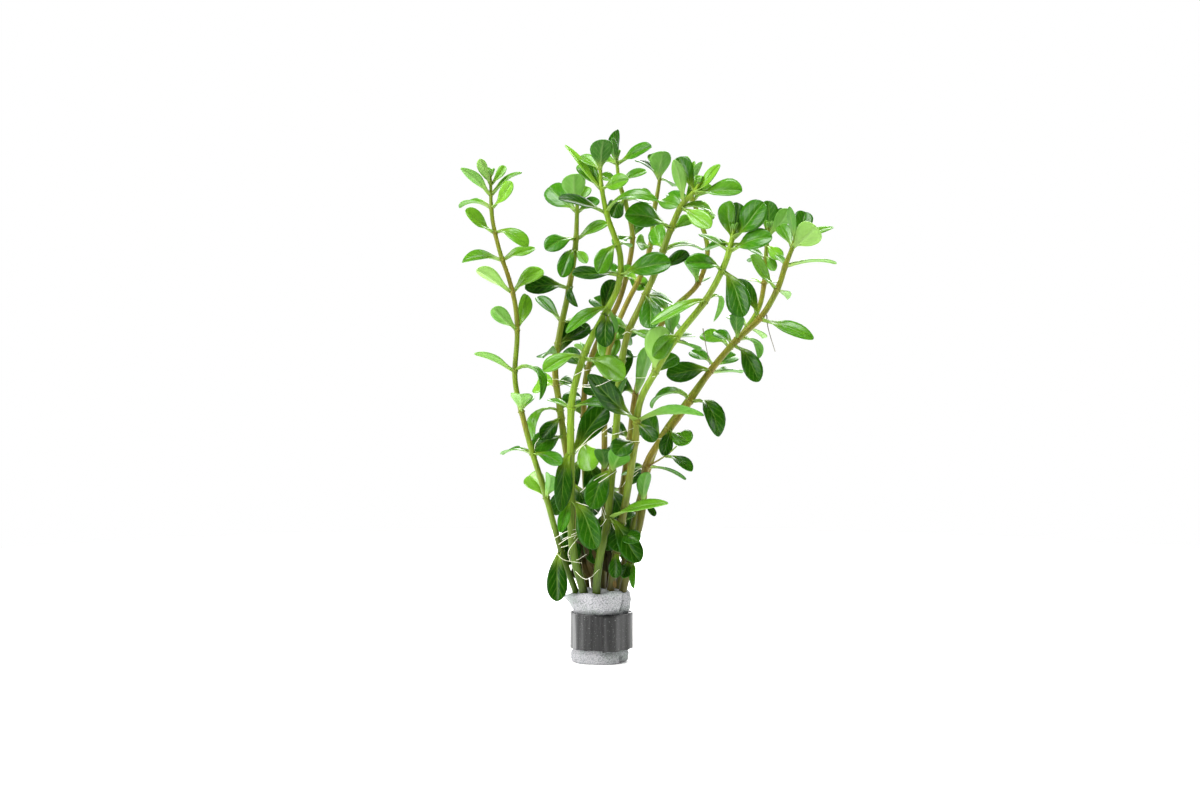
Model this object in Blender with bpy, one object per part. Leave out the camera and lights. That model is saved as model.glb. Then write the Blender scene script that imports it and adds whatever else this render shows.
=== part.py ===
"""A bunch of rotala shoots, wrapped at the foot in foam that a wound lead strip holds.

The bunch stands on the foam's flat foot. The origin is the middle of that foot, +Z is up,
and the front of the bunch faces -Y. Sizes are in millimetres until a mesh is finished.
"""
import math
from collections import namedtuple

import bmesh
import bpy
import numpy as np
from mathutils import Matrix, Vector

MM = 0.001

# Clearance between pieces that touch
GAP = 0.3

# Edges that turn further than this are shaded sharp
SHARP_ANGLE = math.radians(40)

# Foam wrap
FOAM_SIDES = 20
FOAM_HEIGHT = 24.0
FOAM_RADIUS = 9.7
FOAM_PRESSED_RADIUS = 8.7
FOAM_RIM_RADIUS = 10.8
FOAM_RIM_SHIFT = -0.7
FOAM_FOOT_ROUND = 0.3
FOAM_FOOT_RISE = 0.8
FOAM_RIM_ROUND = 0.7
FOAM_RIM_DROP = 1.0
FOAM_SQUEEZE = 0.9
FOAM_SPRING_BACK = 1.3

# Lead strip
STRIP_WIDTH = 12.0
STRIP_THICKNESS = 0.8
STRIP_BOTTOM = 4.6
STRIP_END_DROP = 0.4
STRIP_INNER_RADIUS = 9.2
STRIP_OUTER_END = math.radians(-86)
STRIP_LAP = math.radians(95)
STRIP_START_HIDDEN = math.radians(12)
STRIP_SETTLE = math.radians(90)
STRIP_DROP_TURN = math.radians(60)
STRIP_STEPS = 26

# Stems
STEM_FOOT = 0.8
STEM_SECTIONS = 12
SOCKET_SIDES = 6
SOCKET_OVERRUN = 2.0

# Swollen ring that carries a pair of leaves, and the growing tip
RING_SIDES = 6
RING_WALL = 0.6
RING_HALF_HEIGHT = 0.8
TIP_SIDES = 6
TIP_BAND = 0.6
TIP_SKIRT = 1.4
TIP_SWELL = 1.15
TIP_START = 1.0
BUD_LENGTH = 2.2
BUD_SHOULDER = 0.6
BUD_END = 0.4

# Leaf blade: share of the length, share of the width, along a leaf from its ring to its tip
LEAF_SECTIONS = ((0.32, 0.50), (0.64, 1.00), (0.88, 0.74), (1.00, 0.24))
LEAF_THICKNESS = 0.6
LEAF_TIP_THICKNESS = 0.36

LEAF_GREEN = (0.10, 0.30, 0.04, 1.0)
TIP_GREEN = (0.20, 0.45, 0.08, 1.0)
STEM_OLIVE = (0.25, 0.27, 0.05, 1.0)
FOAM_GREY = (0.52, 0.52, 0.50, 1.0)
LEAD_GREY = (0.16, 0.17, 0.17, 1.0)

# A shoot: the stem's radius low and high, the points of its centre line, and its leaves.
# A leaf is written as across, up, length, width, turn, arch. Across and up say where its tip
# is from the stem, seen from the front. Its length is minus when it leans to the front and
# plus when it leans to the back. Turn tips its upper face to the front, in degrees, and
# arch is its rise at the middle as a share of its length.
Shoot = namedtuple("Shoot", "low_radius high_radius route tip pairs")

SHOOTS = {
    1: Shoot(1.15, 0.70, (
        (-6.1, -0.9, 0.8), (-6.3, -0.9, 15), (-7.6, -2, 22), (-12.5, -4, 36), (-18, -5.5, 56),
        (-22, -6, 69), (-25, -6, 80), (-28, -5.5, 94), (-27.3, -5, 108), (-27.8, -5, 118),
        (-30, -5, 127.5), (-33, -5, 136.5), (-35.5, -5, 148), (-36, -5, 162)),
        tip=(
            (150.5, ((-11, 0.5, 13.5, 4.5, 8, 0.1), (7, 8.5, -12, 5, 85, 0))),
            (155, ((-9.5, 8.5, -14, 4, -35, 0), (10, 7.5, 13, 4, 5, 0.05))),
            (158.5, ((-3.5, 8, -9.5, 3.5, -65, 0), (4.5, 6, 8.5, 3, 40, 0)))),
        pairs=(
            (142.5, ((-9.5, 7.5, -12.5, 5.5, 60, 0), (11, -4.5, -12.5, 5.5, 45, 0.08))),
            (133.5, ((-13.5, -0.5, 14.5, 5.5, 42, 0.05), (10.5, 4, 13.5, 4.5, 35, 0))),
            (123, ((-11.5, 7.5, -14.5, 5.5, -40, 0), (9.5, 7.5, 15.5, 6, 35, 0))),
            (97, ((-13, 6, -15.5, 5.5, -15, 0), (8.5, -9, -14.5, 4.5, -10, 0.3))),
            (69.5, ((-10.5, -0.5, 14, 5.5, 12, 0.12), (9.5, -2.5, -14, 5.5, 35, 0))),
            (37, ((-1.5, -15.5, -17.5, 7, 10, 0), (2.5, 4, 13.5, 5.5, 20, 0))))),
    2: Shoot(1.35, 0.95, (
        (-5.3, 3.3, 0.8), (-5.3, 3.3, 15), (-4.5, 4, 22.5), (-6, 5, 35), (-8.5, 6, 53.5),
        (-11.5, 7, 70.5), (-13.5, 8, 84.5), (-15, 9, 96.5), (-13.5, 9, 109), (-11, 10, 120.5),
        (-9, 10, 132), (-8, 11, 141), (-7.5, 11, 156)),
        tip=(
            (140.5, ((-10, -3.5, -14.5, 6.5, 45, 0), (10.5, 5.5, 13.5, 5, 35, 0))),
            (149.5, ((-9.5, 8.5, 15.5, 8, 55, 0), (7, 4.5, 10, 4.5, 40, 0))),
            (152.5, ((-1, 9.5, -12, 8, -10, 0), (3.5, 5.5, 8.5, 4, 30, 0)))),
        pairs=(
            (124, ((-14.5, 0, -16.5, 7.5, 55, 0), (2.8, -6, -9.5, 3, 60, 0.2))),
            (101.5, ((-4.5, 0, -14, 6, -30, 0.05), (6, 11, 14.5, 6.5, 55, 0))),
            (83, ((-8.5, -10.5, -13.7, 5.5, 20, 0.35), (5.5, 4.5, 13.5, 5.5, 30, 0))),
            (74.5, ((-10, -3.5, -14.5, 7.5, 60, 0), (1, 4, 13.5, 6, 40, 0))))),
    3: Shoot(1.50, 0.95, (
        (-4.1, -4.6, 0.8), (-4.1, -4.6, 15), (-5.5, -5.7, 24), (-8.5, -8, 35.5),
        (-9.5, -9, 47.5), (-9.5, -10, 64), (-9.5, -11, 84), (-7.5, -12, 95.5),
        (-3.5, -12, 106.5), (2.5, -13, 117.5), (6, -13, 125.5), (6.5, -14, 135.5),
        (2.5, -14, 147.5), (0.5, -15, 157.5), (0, -15, 166)),
        tip=(
            (149, ((-15.5, 4.5, -16.5, 6.5, 35, 0.05), (16.5, 4, -18, 6, 35, 0.2))),
            (156.5, ((-12, 14.5, 19.5, 3.2, 25, 0), (8.5, 3, -12, 5.5, 75, 0.05),
                     (-7, 8.5, 14, 6, 45, 0))),
            (163, ((1, 9.5, -10.3, 7.5, 0, 0), (-6.5, 4.5, 10, 4.5, 30, 0)))),
        pairs=(
            (138.5, ((-6.5, -9, -13.5, 6.5, 60, 0), (4.5, -0.5, 11.5, 3.5, 25, 0))),
            (128.5, ((-15.5, 0.5, -16.5, 6.5, 38, 0), (16.5, 4, -18.5, 8, 70, 0.05))),
            (117.5, ((-13.5, -7.5, -16.5, 5.5, 30, 0), (2, -8, 10, 4, 30, 0))),
            (101.5, ((-13, -4, -14.5, 6, 40, 0.05), (13.5, -6.5, -16, 8, 60, 0))),
            (85, ((14.5, 1, -15.2, 6, 35, 0.08), (-7.5, 2.5, 11.5, 4, 10, 0))),
            (70, ((11.5, 15, 20, 8.5, 55, 0), (-3.5, -18.5, -19.5, 6.5, 60, 0))),
            (54, ((8.5, -14.5, -18.5, 8.5, 70, 0), (-3.5, -9.5, -12, 4, 20, 0))))),
    4: Shoot(1.20, 0.80, (
        (-1.9, 5.9, 0.8), (-1.9, 5.9, 15), (-2, 8, 23), (-3.5, 11, 39.5), (-5, 14, 60),
        (-5.5, 16, 80), (-4.5, 17, 95), (0, 18, 107.5), (6, 19, 118.5), (9.5, 20, 130.5),
        (11, 21, 141.5), (9, 22, 151.5), (6.5, 22, 160), (5.5, 22, 169)),
        tip=(
            (159.5, ((9, 4.5, 12, 4.5, 30, 0), (-6.5, 3, 10.5, 4.5, 30, 0))),
            (166, ((0, 11.5, 12.5, 5.5, 50, 0), (11.5, 5.5, -14.5, 5.5, 60, 0),
                   (-1.5, 8.5, -10, 3, 0, 0), (-8, 2, 12, 5.5, 40, 0)))),
        pairs=(
            (141, ((2.5, 8, 12, 6, 45, 0), (-6.5, -2.5, -12, 4.5, 30, 0))),)),
    5: Shoot(1.20, 0.80, (
        (2.4, 0.8, 0.8), (2.4, 0.8, 15), (1, 2, 23.5), (1.5, 4, 40), (1.5, 5, 60.5),
        (1.5, 6, 77), (1.5, 7, 92), (3.5, 8, 105.5), (8.5, 9, 118), (14, 10, 129),
        (17, 11, 139), (18, 11, 149), (19.5, 11, 157.5), (20.5, 11, 165)),
        tip=(
            (153, ((7.5, -1.5, -11.5, 6, 45, 0.05), (-6.5, 2.5, 12, 5.5, 35, 0))),
            (160.5, ((-8, 6.5, 11.5, 4.5, 8, 0.1), (5, -2, 10, 4.5, 30, 0),
                     (1, 9.1, -10, 7.3, 0, 0))),
            (162.5, ((-3, 6.5, 9, 4.5, 20, 0),))),
        pairs=(
            (137.5, ((-4.5, 2, -11.5, 5.5, 80, 0), (4.5, 6, 13.5, 6, 35, 0))),)),
    6: Shoot(1.45, 1.00, (
        (-0.2, -6.2, 0.8), (-0.2, -6.2, 15), (-1.2, -7.2, 24.5), (0, -9, 36), (2.5, -9, 48),
        (4, -8, 64), (5.5, -8, 80.5), (6.5, -9, 95.5), (9, -10, 109), (13.5, -11, 119),
        (18.5, -12, 130.5), (22.5, -13, 142), (26.5, -13, 151), (30.5, -14, 155.5),
        (33, -14, 159)),
        tip=(
            (150.5, ((9.5, -6.5, -14, 6.5, 45, 0), (11.5, -2.5, 14.5, 4.5, 45, 0.15))),
            (152.5, ((-3.5, 13.5, -14.5, 4.5, -25, 0), (5.5, 8.5, 11.5, 4.5, 30, 0))),
            (155.5, ((-5, 11.5, 13.5, 6.5, 45, 0), (15.5, 0.5, -16.5, 7.5, 48, 0.03),
                     (8.5, 9, -12.5, 4, 60, 0)))),
        pairs=(
            (143.5, ((-15, 4.5, -17.5, 8.5, 70, 0.04), (7.5, 4, 10.5, 4.5, 40, 0))),
            (136.5, ((-2.5, 8, 12, 7.5, 55, 0), (13.5, 0.5, 15.5, 4.5, 22, 0.12))),
            (122, ((1.5, -10.5, -14, 7.5, 10, 0), (9.5, -3, 14.5, 6.5, 40, 0))),
            (110.5, ((7.5, -2.5, -9.5, 4.5, 30, 0), (-7, 3, 12, 5, 30, 0))),
            (64, ((3.5, 7.5, -14, 7.5, -30, 0), (-7, -11.5, -15.5, 8, 50, 0))),
            (48.5, ((19.5, 6, -23, 5.5, 35, 0.05), (10.5, -13.5, -18.5, 7.5, 55, 0))))),
    7: Shoot(1.20, 0.80, (
        (2.3, 5.8, 0.8), (2.3, 5.8, 15), (2, 7.6, 23), (4.5, 12, 39.5), (7.5, 15, 56),
        (10, 17, 73), (12, 19, 88), (16.5, 21, 103.5), (24, 22, 116), (33, 23, 125),
        (36.5, 24, 136.5), (34, 25, 147), (31, 25, 155.5), (30.5, 25, 162)),
        tip=(
            (153.5, ((-8.5, 2.5, 12, 5, 30, 0), (6.5, 5.5, 12, 4.5, 30, 0))),
            (158.5, ((-2, 10, 11.5, 5.5, 50, 0), (3.5, 8, -10.5, 4, 20, 0),
                     (1.5, 8.5, 9.5, 2.5, 10, 0)))),
        pairs=(
            (125.5, ((-3.5, 9.5, -12, 6, 0, 0), (2.5, 3, 11.5, 5, 20, 0))),)),
    8: Shoot(1.40, 1.00, (
        (3.8, -4.9, 0.8), (3.8, -4.9, 15), (3.5, -5, 24), (6, -7, 40.5), (9, -10, 57.5),
        (11.5, -13, 74), (13, -15, 87), (18, -16, 97), (25, -17, 108.5), (34, -18, 120),
        (39.5, -19, 130), (42, -20, 137), (43.5, -20, 144)),
        tip=(
            (136.5, ((13.5, 4.5, -15.5, 7.5, 65, 0.05), (-9.5, 5.5, 14.5, 4, 6, 0))),
            (138.5, ((11, -3.5, 14, 4.5, 45, 0.05), (-8, -1.5, 13.5, 5.5, 30, 0))),
            (140.5, ((10, 11.5, -15.6, 9.3, 75, 0), (-1.5, 12, 13.5, 6.5, 45, 0),
                     (2.5, 11.5, 14, 6.5, 45, 0)))),
        pairs=(
            (130, ((-12, 2.5, -14, 6, 60, 0.1), (7, -14.5, -17.5, 8.5, 70, 0))),
            (120, ((-17.5, -7, -21, 5.5, 25, 0), (3.5, -6.5, 12, 2.5, 30, 0.45))),
            (108.5, ((-8, -6, -14, 6.5, 75, 0), (5.5, 0.5, 11.5, 4.5, 30, 0))),
            (97, ((2, 15, -15.3, 8.5, -40, 0), (7.5, 5, 12, 5.5, 45, 0))),
            (81, ((-16, 15.5, -26, 7.8, 95, 0), (21.5, 2.5, -23.5, 6.5, -30, 0.08))))),
    9: Shoot(1.15, 0.80, (
        (5.5, 2.9, 0.8), (5.5, 2.9, 15), (5.5, 4, 23), (9.5, 6, 38), (14, 8, 56),
        (20, 11, 73), (28.5, 13, 85), (38.5, 15, 98), (48, 17, 108.5), (53.5, 18, 117),
        (55.5, 19, 126), (56, 20, 134), (56.5, 20, 139.5), (57, 20, 145)),
        tip=(
            (134.5, ((2.5, -4.5, -10, 3.5, 40, 0), (-5.5, -1.5, 12, 4, 20, 0))),
            (138, ((4.5, -4, -12, 4.5, 45, 0), (-5.5, 2.5, 12, 5, 30, 0))),
            (141.5, ((0.5, 12, 13.5, 6.3, 10, 0), (6.5, 9, -13.5, 5.5, -35, 0),
                     (5.5, 9.5, 15, 4.5, 40, 0)))),
        pairs=(
            (111, ((6, -4, 12, 4.5, 20, 0), (-6, 3.5, 12.5, 4.5, 20, 0))),)),
    10: Shoot(1.45, 0.95, (
        (6.1, -1.3, 0.8), (6.1, -1.3, 15), (7.5, -3, 23.5), (11, -4, 37.5), (14, -4, 51),
        (15, -3, 64), (18.5, -2, 71.5), (28, 0, 84), (36.5, 1, 96.5), (45, 2, 106.5),
        (53.5, 3, 114.5), (59, 3, 124), (61.5, 3, 131.5), (64, 3, 138), (65.5, 3, 143)),
        tip=(
            (131.5, ((17.5, 1, 18.5, 5, 4, 0.05), (-2.5, 3.5, 7, 3, 10, 0))),
            (137.5, ((7.5, 7, -12, 9, -60, 0), (-3.5, 7.5, 12.5, 5, 20, 0))),
            (140, ((4, 9.5, 13, 6.5, 25, 0), (13.5, 4.5, 16, 4, 12, 0),
                   (-2.5, 11, -15.5, 3, 10, 0)))),
        pairs=(
            (123.5, ((-9, 11.5, -16, 5.5, 75, 0), (4.5, -3, 12.5, 4, 6, 0))),
            (114, ((17.5, -6.5, -19.5, 6, 45, 0), (-7.5, 13, 16, 5.5, 40, 0))),
            (105.5, ((8.5, -12, -16, 6.5, 60, 0.05), (-5.5, 4, 11.5, 4.5, 30, 0))),
            (96.5, ((-14.5, -1, -16, 7.5, 60, 0), (11.5, -0.5, 15.5, 5.5, 8, 0))),
            (86.5, ((9.5, -11, -16.5, 7, 30, 0.25), (-12.5, -2.5, 16.5, 5, 30, 0.2))),
            (65, ((13.5, -4.5, 16, 4, 4, 0.05), (-7.5, -3, 11.5, 5.5, 30, 0))))),
}


def clear_scene():
    for item in list(bpy.data.objects):
        bpy.data.objects.remove(item)


def material(name, colour, roughness, metallic=0.0):
    made = bpy.data.materials.new(name)
    made.use_nodes = True
    shader = made.node_tree.nodes["Principled BSDF"]
    shader.inputs["Base Color"].default_value = colour
    shader.inputs["Roughness"].default_value = roughness
    shader.inputs["Metallic"].default_value = metallic
    return made


def add_object(name, data, finish):
    data.materials.append(finish)
    made = bpy.data.objects.new(name, data)
    bpy.context.scene.collection.objects.link(made)
    return made


def finish_mesh(name, shape, finish):
    """Turn a shape in millimetres into a named object in metres, with its faces out."""
    bmesh.ops.recalc_face_normals(shape, faces=shape.faces)
    bmesh.ops.scale(shape, vec=(MM, MM, MM), verts=shape.verts)
    mesh = bpy.data.meshes.new(name)
    shape.to_mesh(mesh)
    shape.free()
    mesh.shade_smooth()
    mesh.set_sharp_from_angle(angle=SHARP_ANGLE)
    return add_object(name, mesh, finish)


def join_rings(shape, rings):
    """Close a row of equal rings into one body, and give the faces between each two."""
    bands = []
    for low, high in zip(rings, rings[1:]):
        count = len(low)
        bands.append([shape.faces.new((low[i - 1], low[i], high[i], high[i - 1]))
                      for i in range(count)])
    shape.faces.new(rings[0])
    shape.faces.new(rings[-1])
    return bands


def smooth_line(points, steps=8):
    """Points close together on a smooth curve through the given ones."""
    ends = [Vector(p) for p in points]
    ends = [2 * ends[0] - ends[1]] + ends + [2 * ends[-1] - ends[-2]]
    line = []
    for before, start, end, after in zip(ends, ends[1:], ends[2:], ends[3:]):
        for step in range(steps):
            t = step / steps
            line.append(0.5 * (2 * start + t * (end - before)
                               + t * t * (2 * before - 5 * start + 4 * end - after)
                               + t ** 3 * (3 * start - before - 3 * end + after)))
    return line + [ends[-2]]


def point_at(line, height):
    """The place on a rising line at one height."""
    heights = [p.z for p in line]
    across = np.interp(height, heights, [p.x for p in line])
    depth = np.interp(height, heights, [p.y for p in line])
    return Vector((across, depth, height))


def stem_line(shoot):
    """The stem's centre line as its sections have it, and on through the growing tip."""
    smooth = smooth_line(shoot.route)
    top = shoot.tip[0][0] - TIP_SKIRT - GAP
    heights = np.linspace(STEM_FOOT, top, STEM_SECTIONS)
    stem = [point_at(smooth, height) for height in heights]
    return stem, stem + [p for p in smooth if p.z > top + TIP_START]


def direction_at(line, height):
    return (point_at(line, height + 1) - point_at(line, height - 1)).normalized()


def ring_frame(line, height, heading):
    """A frame on the stem at one height, with Z along the stem and X towards a heading."""
    up = direction_at(line, height)
    across = (heading - up * heading.dot(up)).normalized()
    side = up.cross(across)
    frame = Matrix((across, side, up)).transposed().to_4x4()
    frame.translation = point_at(line, height)
    return frame


def tip_offset(leaf):
    """Where a leaf's tip is from the stem: its depth follows from its length."""
    across, up, length = leaf[:3]
    depth = math.sqrt(max(0.0, length * length - across * across - up * up))
    return Vector((across, math.copysign(depth, length), up))


def leaf_directions(along, turn):
    """The width and upper-face directions of a blade, turned about its own length."""
    front = Vector((0, 0, 1)).cross(along).normalized()
    if front.y > 0:
        front = -front
    upper = front.cross(along)
    if upper.z < 0:
        upper = -upper
    angle = math.radians(turn)
    upper = upper * math.cos(angle) + front * math.sin(angle)
    return upper.cross(along), upper


def free_face(faces, middle, along):
    """The side face that looks most towards a leaf."""
    def towards(face):
        return (face.calc_center_median() - middle).normalized().dot(along)
    return max(faces, key=towards)


def nearest_start(corners, verts):
    """How far to turn a list of corners so that each is nearest its own vertex."""
    def spread(shift):
        return sum((corners[(i + shift) % 4] - verts[i].co).length for i in range(4))
    return min(range(4), key=spread)


def grow_leaf(shape, face, node, leaf):
    """Extrude a side face, section by section, into a thin blade."""
    _, _, _, width, turn, arch = leaf
    tip = node + tip_offset(leaf)
    base = face.calc_center_median()
    along = (tip - base).normalized()
    length = (tip - base).length
    side, upper = leaf_directions(along, turn)
    for share, wide in LEAF_SECTIONS:
        rise = upper * (arch * length * 4 * share * (1 - share))
        centre = base + along * (length * share) + rise
        half_width = side * (width * wide / 2)
        half_thickness = upper * ((LEAF_THICKNESS if share < 1 else LEAF_TIP_THICKNESS) / 2)
        corners = [centre + half_width + half_thickness, centre - half_width + half_thickness,
                   centre - half_width - half_thickness, centre + half_width - half_thickness]
        face = bmesh.ops.extrude_discrete_faces(shape, faces=[face])["faces"][0]
        start = nearest_start(corners, face.verts)
        for number, vert in enumerate(face.verts):
            vert.co = corners[(number + start) % 4]


def outer_faces(shape, middle, up, radius):
    """The side faces of a ring that look away from its axis, within 30 degrees of level."""
    found = []
    for face in shape.faces:
        arm = face.calc_center_median() - middle
        arm = arm - up * arm.dot(up)
        level = abs(face.normal.dot(up)) < math.sin(math.radians(30))
        if len(face.verts) == 4 and arm.length > radius and level:
            found.append(face)
    return found


def build_leaf_pair(name, line, stem_radius, height, leaves, finish):
    bore = (stem_radius + GAP) / math.cos(math.pi / RING_SIDES)
    outside = bore + RING_WALL
    half = RING_HALF_HEIGHT
    shape = bmesh.new()
    corners = ((bore, -half), (outside, -half), (outside, half), (bore, half))
    verts = [shape.verts.new((x, 0, z)) for x, z in corners]
    edges = [shape.edges.new((verts[i], verts[i - 1])) for i in range(4)]
    bmesh.ops.spin(shape, geom=verts + edges, axis=(0, 0, 1), cent=(0, 0, 0),
                   angle=math.tau, steps=RING_SIDES, use_merge=True)
    bmesh.ops.recalc_face_normals(shape, faces=shape.faces)
    middle = point_at(line, height)
    heading = tip_offset(leaves[0])
    half_side = Matrix.Rotation(math.pi / RING_SIDES, 4, "Z")
    frame = ring_frame(line, height, heading)
    bmesh.ops.transform(shape, matrix=frame @ half_side, verts=shape.verts)
    up = direction_at(line, height)
    for leaf in leaves:
        sides = outer_faces(shape, middle, up, bore)
        face = free_face(sides, middle, tip_offset(leaf).normalized())
        grow_leaf(shape, face, middle, leaf)
    return finish_mesh(name, shape, finish)


def build_shoot_tip(name, line, radius, nodes, finish):
    """The end of a stem with its crowded young leaves, ending in a blunt bud."""
    lowest = nodes[0][0]
    highest = nodes[-1][0]
    sections = [(lowest - TIP_SKIRT, radius)]
    for height, _ in nodes:
        sections += [(height - TIP_BAND, radius * TIP_SWELL),
                     (height + TIP_BAND, radius * TIP_SWELL)]
    sections += [(highest + BUD_LENGTH * BUD_SHOULDER, radius),
                 (highest + BUD_LENGTH, radius * BUD_END)]
    shape = bmesh.new()
    rings = []
    for height, wide in sections:
        ring = bmesh.ops.create_circle(shape, segments=TIP_SIDES, radius=wide)["verts"]
        frame = ring_frame(line, height, Vector((1, 0, 0)))
        bmesh.ops.transform(shape, matrix=frame, verts=ring)
        rings.append(ring)
    bands = join_rings(shape, rings)
    bmesh.ops.recalc_face_normals(shape, faces=shape.faces)
    for (height, leaves), band in zip(nodes, bands[1::2]):
        middle = point_at(line, height)
        for leaf in leaves:
            face = free_face(band, middle, tip_offset(leaf).normalized())
            band.remove(face)
            grow_leaf(shape, face, middle, leaf)
    return finish_mesh(name, shape, finish)


def build_stem(name, stem, shoot, finish):
    """A round stem from its cut end in the foam to just under the shoot tip."""
    curve = bpy.data.curves.new(name, "CURVE")
    curve.dimensions = "3D"
    curve.bevel_depth = MM
    curve.bevel_resolution = 1
    curve.use_fill_caps = True
    spline = curve.splines.new("POLY")
    spline.points.add(STEM_SECTIONS - 1)
    for point, place in zip(spline.points, stem):
        point.co = (place * MM).to_4d()
        point.radius = radius_at(shoot, place.z)
    spline.use_smooth = True
    return add_object(name, curve, finish)


def radius_at(shoot, height):
    highest = shoot.tip[0][0]
    return float(np.interp(height, (0, highest), (shoot.low_radius, shoot.high_radius)))


def build_sockets():
    """The channels that the stems leave in the foam, as one cutter."""
    shape = bmesh.new()
    for shoot in SHOOTS.values():
        stem, _ = stem_line(shoot)
        inside = [place for place in stem if place.z < FOAM_HEIGHT]
        foot = inside[0] - Vector((0, 0, SOCKET_OVERRUN + STEM_FOOT))
        mouth = point_at(stem, FOAM_HEIGHT + SOCKET_OVERRUN)
        radius = (shoot.low_radius + GAP) / math.cos(math.pi / SOCKET_SIDES)
        rings = []
        for centre in [foot] + inside + [mouth]:
            ring = bmesh.ops.create_circle(shape, segments=SOCKET_SIDES, radius=radius)["verts"]
            bmesh.ops.translate(shape, vec=centre, verts=ring)
            rings.append(ring)
        join_rings(shape, rings)
    return finish_mesh("stem_sockets", shape, material("socket cutter", FOAM_GREY, 0.9))


def build_foam(finish):
    """The wound foam: pressed in under the lead strip, flared at its top rim."""
    strip_low = STRIP_BOTTOM - STRIP_END_DROP
    strip_top = STRIP_BOTTOM + STRIP_WIDTH
    pressed_low = strip_low - GAP / 3
    pressed_top = strip_top + GAP
    sections = (
        (0.0, FOAM_RADIUS - FOAM_FOOT_ROUND, 0.0),
        (FOAM_FOOT_RISE, FOAM_RADIUS, 0.0),
        (pressed_low - FOAM_SQUEEZE, FOAM_RADIUS, 0.0),
        (pressed_low, FOAM_PRESSED_RADIUS, 0.0),
        (pressed_top, FOAM_PRESSED_RADIUS, 0.0),
        (pressed_top + FOAM_SPRING_BACK, FOAM_RADIUS, FOAM_RIM_SHIFT / 2),
        (FOAM_HEIGHT - FOAM_RIM_DROP, FOAM_RIM_RADIUS, FOAM_RIM_SHIFT),
        (FOAM_HEIGHT, FOAM_RIM_RADIUS - FOAM_RIM_ROUND, FOAM_RIM_SHIFT),
    )
    shape = bmesh.new()
    rings = []
    for height, radius, shift in sections:
        ring = bmesh.ops.create_circle(shape, segments=FOAM_SIDES, radius=radius)["verts"]
        bmesh.ops.translate(shape, vec=(shift, 0, height), verts=ring)
        rings.append(ring)
    join_rings(shape, rings)
    foam = finish_mesh("foam_wrap", shape, finish)
    cutter = build_sockets()
    cutter.hide_render = True
    cutter.display_type = "WIRE"
    cut = foam.modifiers.new("stem channels", "BOOLEAN")
    cut.operation = "DIFFERENCE"
    cut.solver = "EXACT"
    cut.object = cutter
    return foam


def strip_place(turned):
    """Radius and drop of the lead strip, by the angle turned from its outer end."""
    lap_radius = STRIP_INNER_RADIUS + STRIP_THICKNESS + GAP
    radius = np.interp(turned, (0, STRIP_LAP, STRIP_LAP + STRIP_SETTLE),
                       (lap_radius, lap_radius, STRIP_INNER_RADIUS))
    drop = np.interp(turned, (0, STRIP_DROP_TURN), (STRIP_END_DROP, 0))
    return float(radius), float(drop)


def build_lead(finish):
    """A flat strip wound once round the foam, its outer end lapping over the start."""
    total = math.tau + STRIP_LAP - STRIP_START_HIDDEN
    shape = bmesh.new()
    rings = []
    for turned in np.linspace(0, total, STRIP_STEPS + 1):
        angle = STRIP_OUTER_END + turned
        radius, drop = strip_place(turned)
        out = Vector((math.cos(angle), math.sin(angle), 0))
        low = Vector((0, 0, STRIP_BOTTOM - drop))
        high = low + Vector((0, 0, STRIP_WIDTH))
        near = out * radius
        far = out * (radius + STRIP_THICKNESS)
        corners = (near + low, far + low, far + high, near + high)
        rings.append([shape.verts.new(corner) for corner in corners])
    join_rings(shape, rings)
    return finish_mesh("lead_strip", shape, finish)


def build_shoot(number, shoot):
    stem, line = stem_line(shoot)
    build_stem(f"stem_{number}", stem, shoot,
               material(f"stem {number}", STEM_OLIVE, 0.5))
    build_shoot_tip(f"shoot_tip_{number}", line, shoot.high_radius, shoot.tip,
                    material(f"shoot tip {number}", TIP_GREEN, 0.45))
    for order, (height, leaves) in enumerate(shoot.pairs, start=1):
        build_leaf_pair(f"leaf_pair_{number}_{order}", line, radius_at(shoot, height),
                        height, leaves, material(f"leaves {number} {order}", LEAF_GREEN, 0.45))


def main():
    clear_scene()
    build_foam(material("foam", FOAM_GREY, 0.95))
    build_lead(material("lead", LEAD_GREY, 0.55, metallic=0.8))
    for number, shoot in SHOOTS.items():
        build_shoot(number, shoot)


main()
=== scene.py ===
"""The looks of a bunch of rotala shoots that foam and a wound lead strip hold at the foot.

Lengths are in millimetres until a mesh is laid in its place, which is in metres.
"""
import math
import random
from collections import namedtuple

import bmesh
import bpy
import numpy as np
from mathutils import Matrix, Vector


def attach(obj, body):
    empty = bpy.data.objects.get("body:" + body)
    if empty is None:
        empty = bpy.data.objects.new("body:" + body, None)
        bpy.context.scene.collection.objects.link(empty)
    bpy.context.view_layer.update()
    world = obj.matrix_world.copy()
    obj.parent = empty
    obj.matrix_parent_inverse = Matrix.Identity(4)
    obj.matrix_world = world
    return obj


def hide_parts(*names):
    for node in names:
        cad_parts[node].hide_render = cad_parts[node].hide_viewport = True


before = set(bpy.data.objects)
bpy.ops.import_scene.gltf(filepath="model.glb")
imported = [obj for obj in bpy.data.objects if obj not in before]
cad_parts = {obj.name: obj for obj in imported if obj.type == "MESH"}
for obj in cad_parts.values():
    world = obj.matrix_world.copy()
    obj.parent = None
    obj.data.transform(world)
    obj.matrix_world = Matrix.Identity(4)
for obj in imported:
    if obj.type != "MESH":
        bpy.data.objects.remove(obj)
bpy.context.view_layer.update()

# A millimetre, and how near each other vertices are merged, both in metres
MM = 0.001
MERGE_REACH = 0.00001

# Camera of the photograph, 94 cm in front of the bunch and looking 3 degrees down
CAMERA_PLACE = (0, -0.9386, 0.1361)
CAMERA_PITCH = math.radians(87)
CAMERA_LENS = 85

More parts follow.
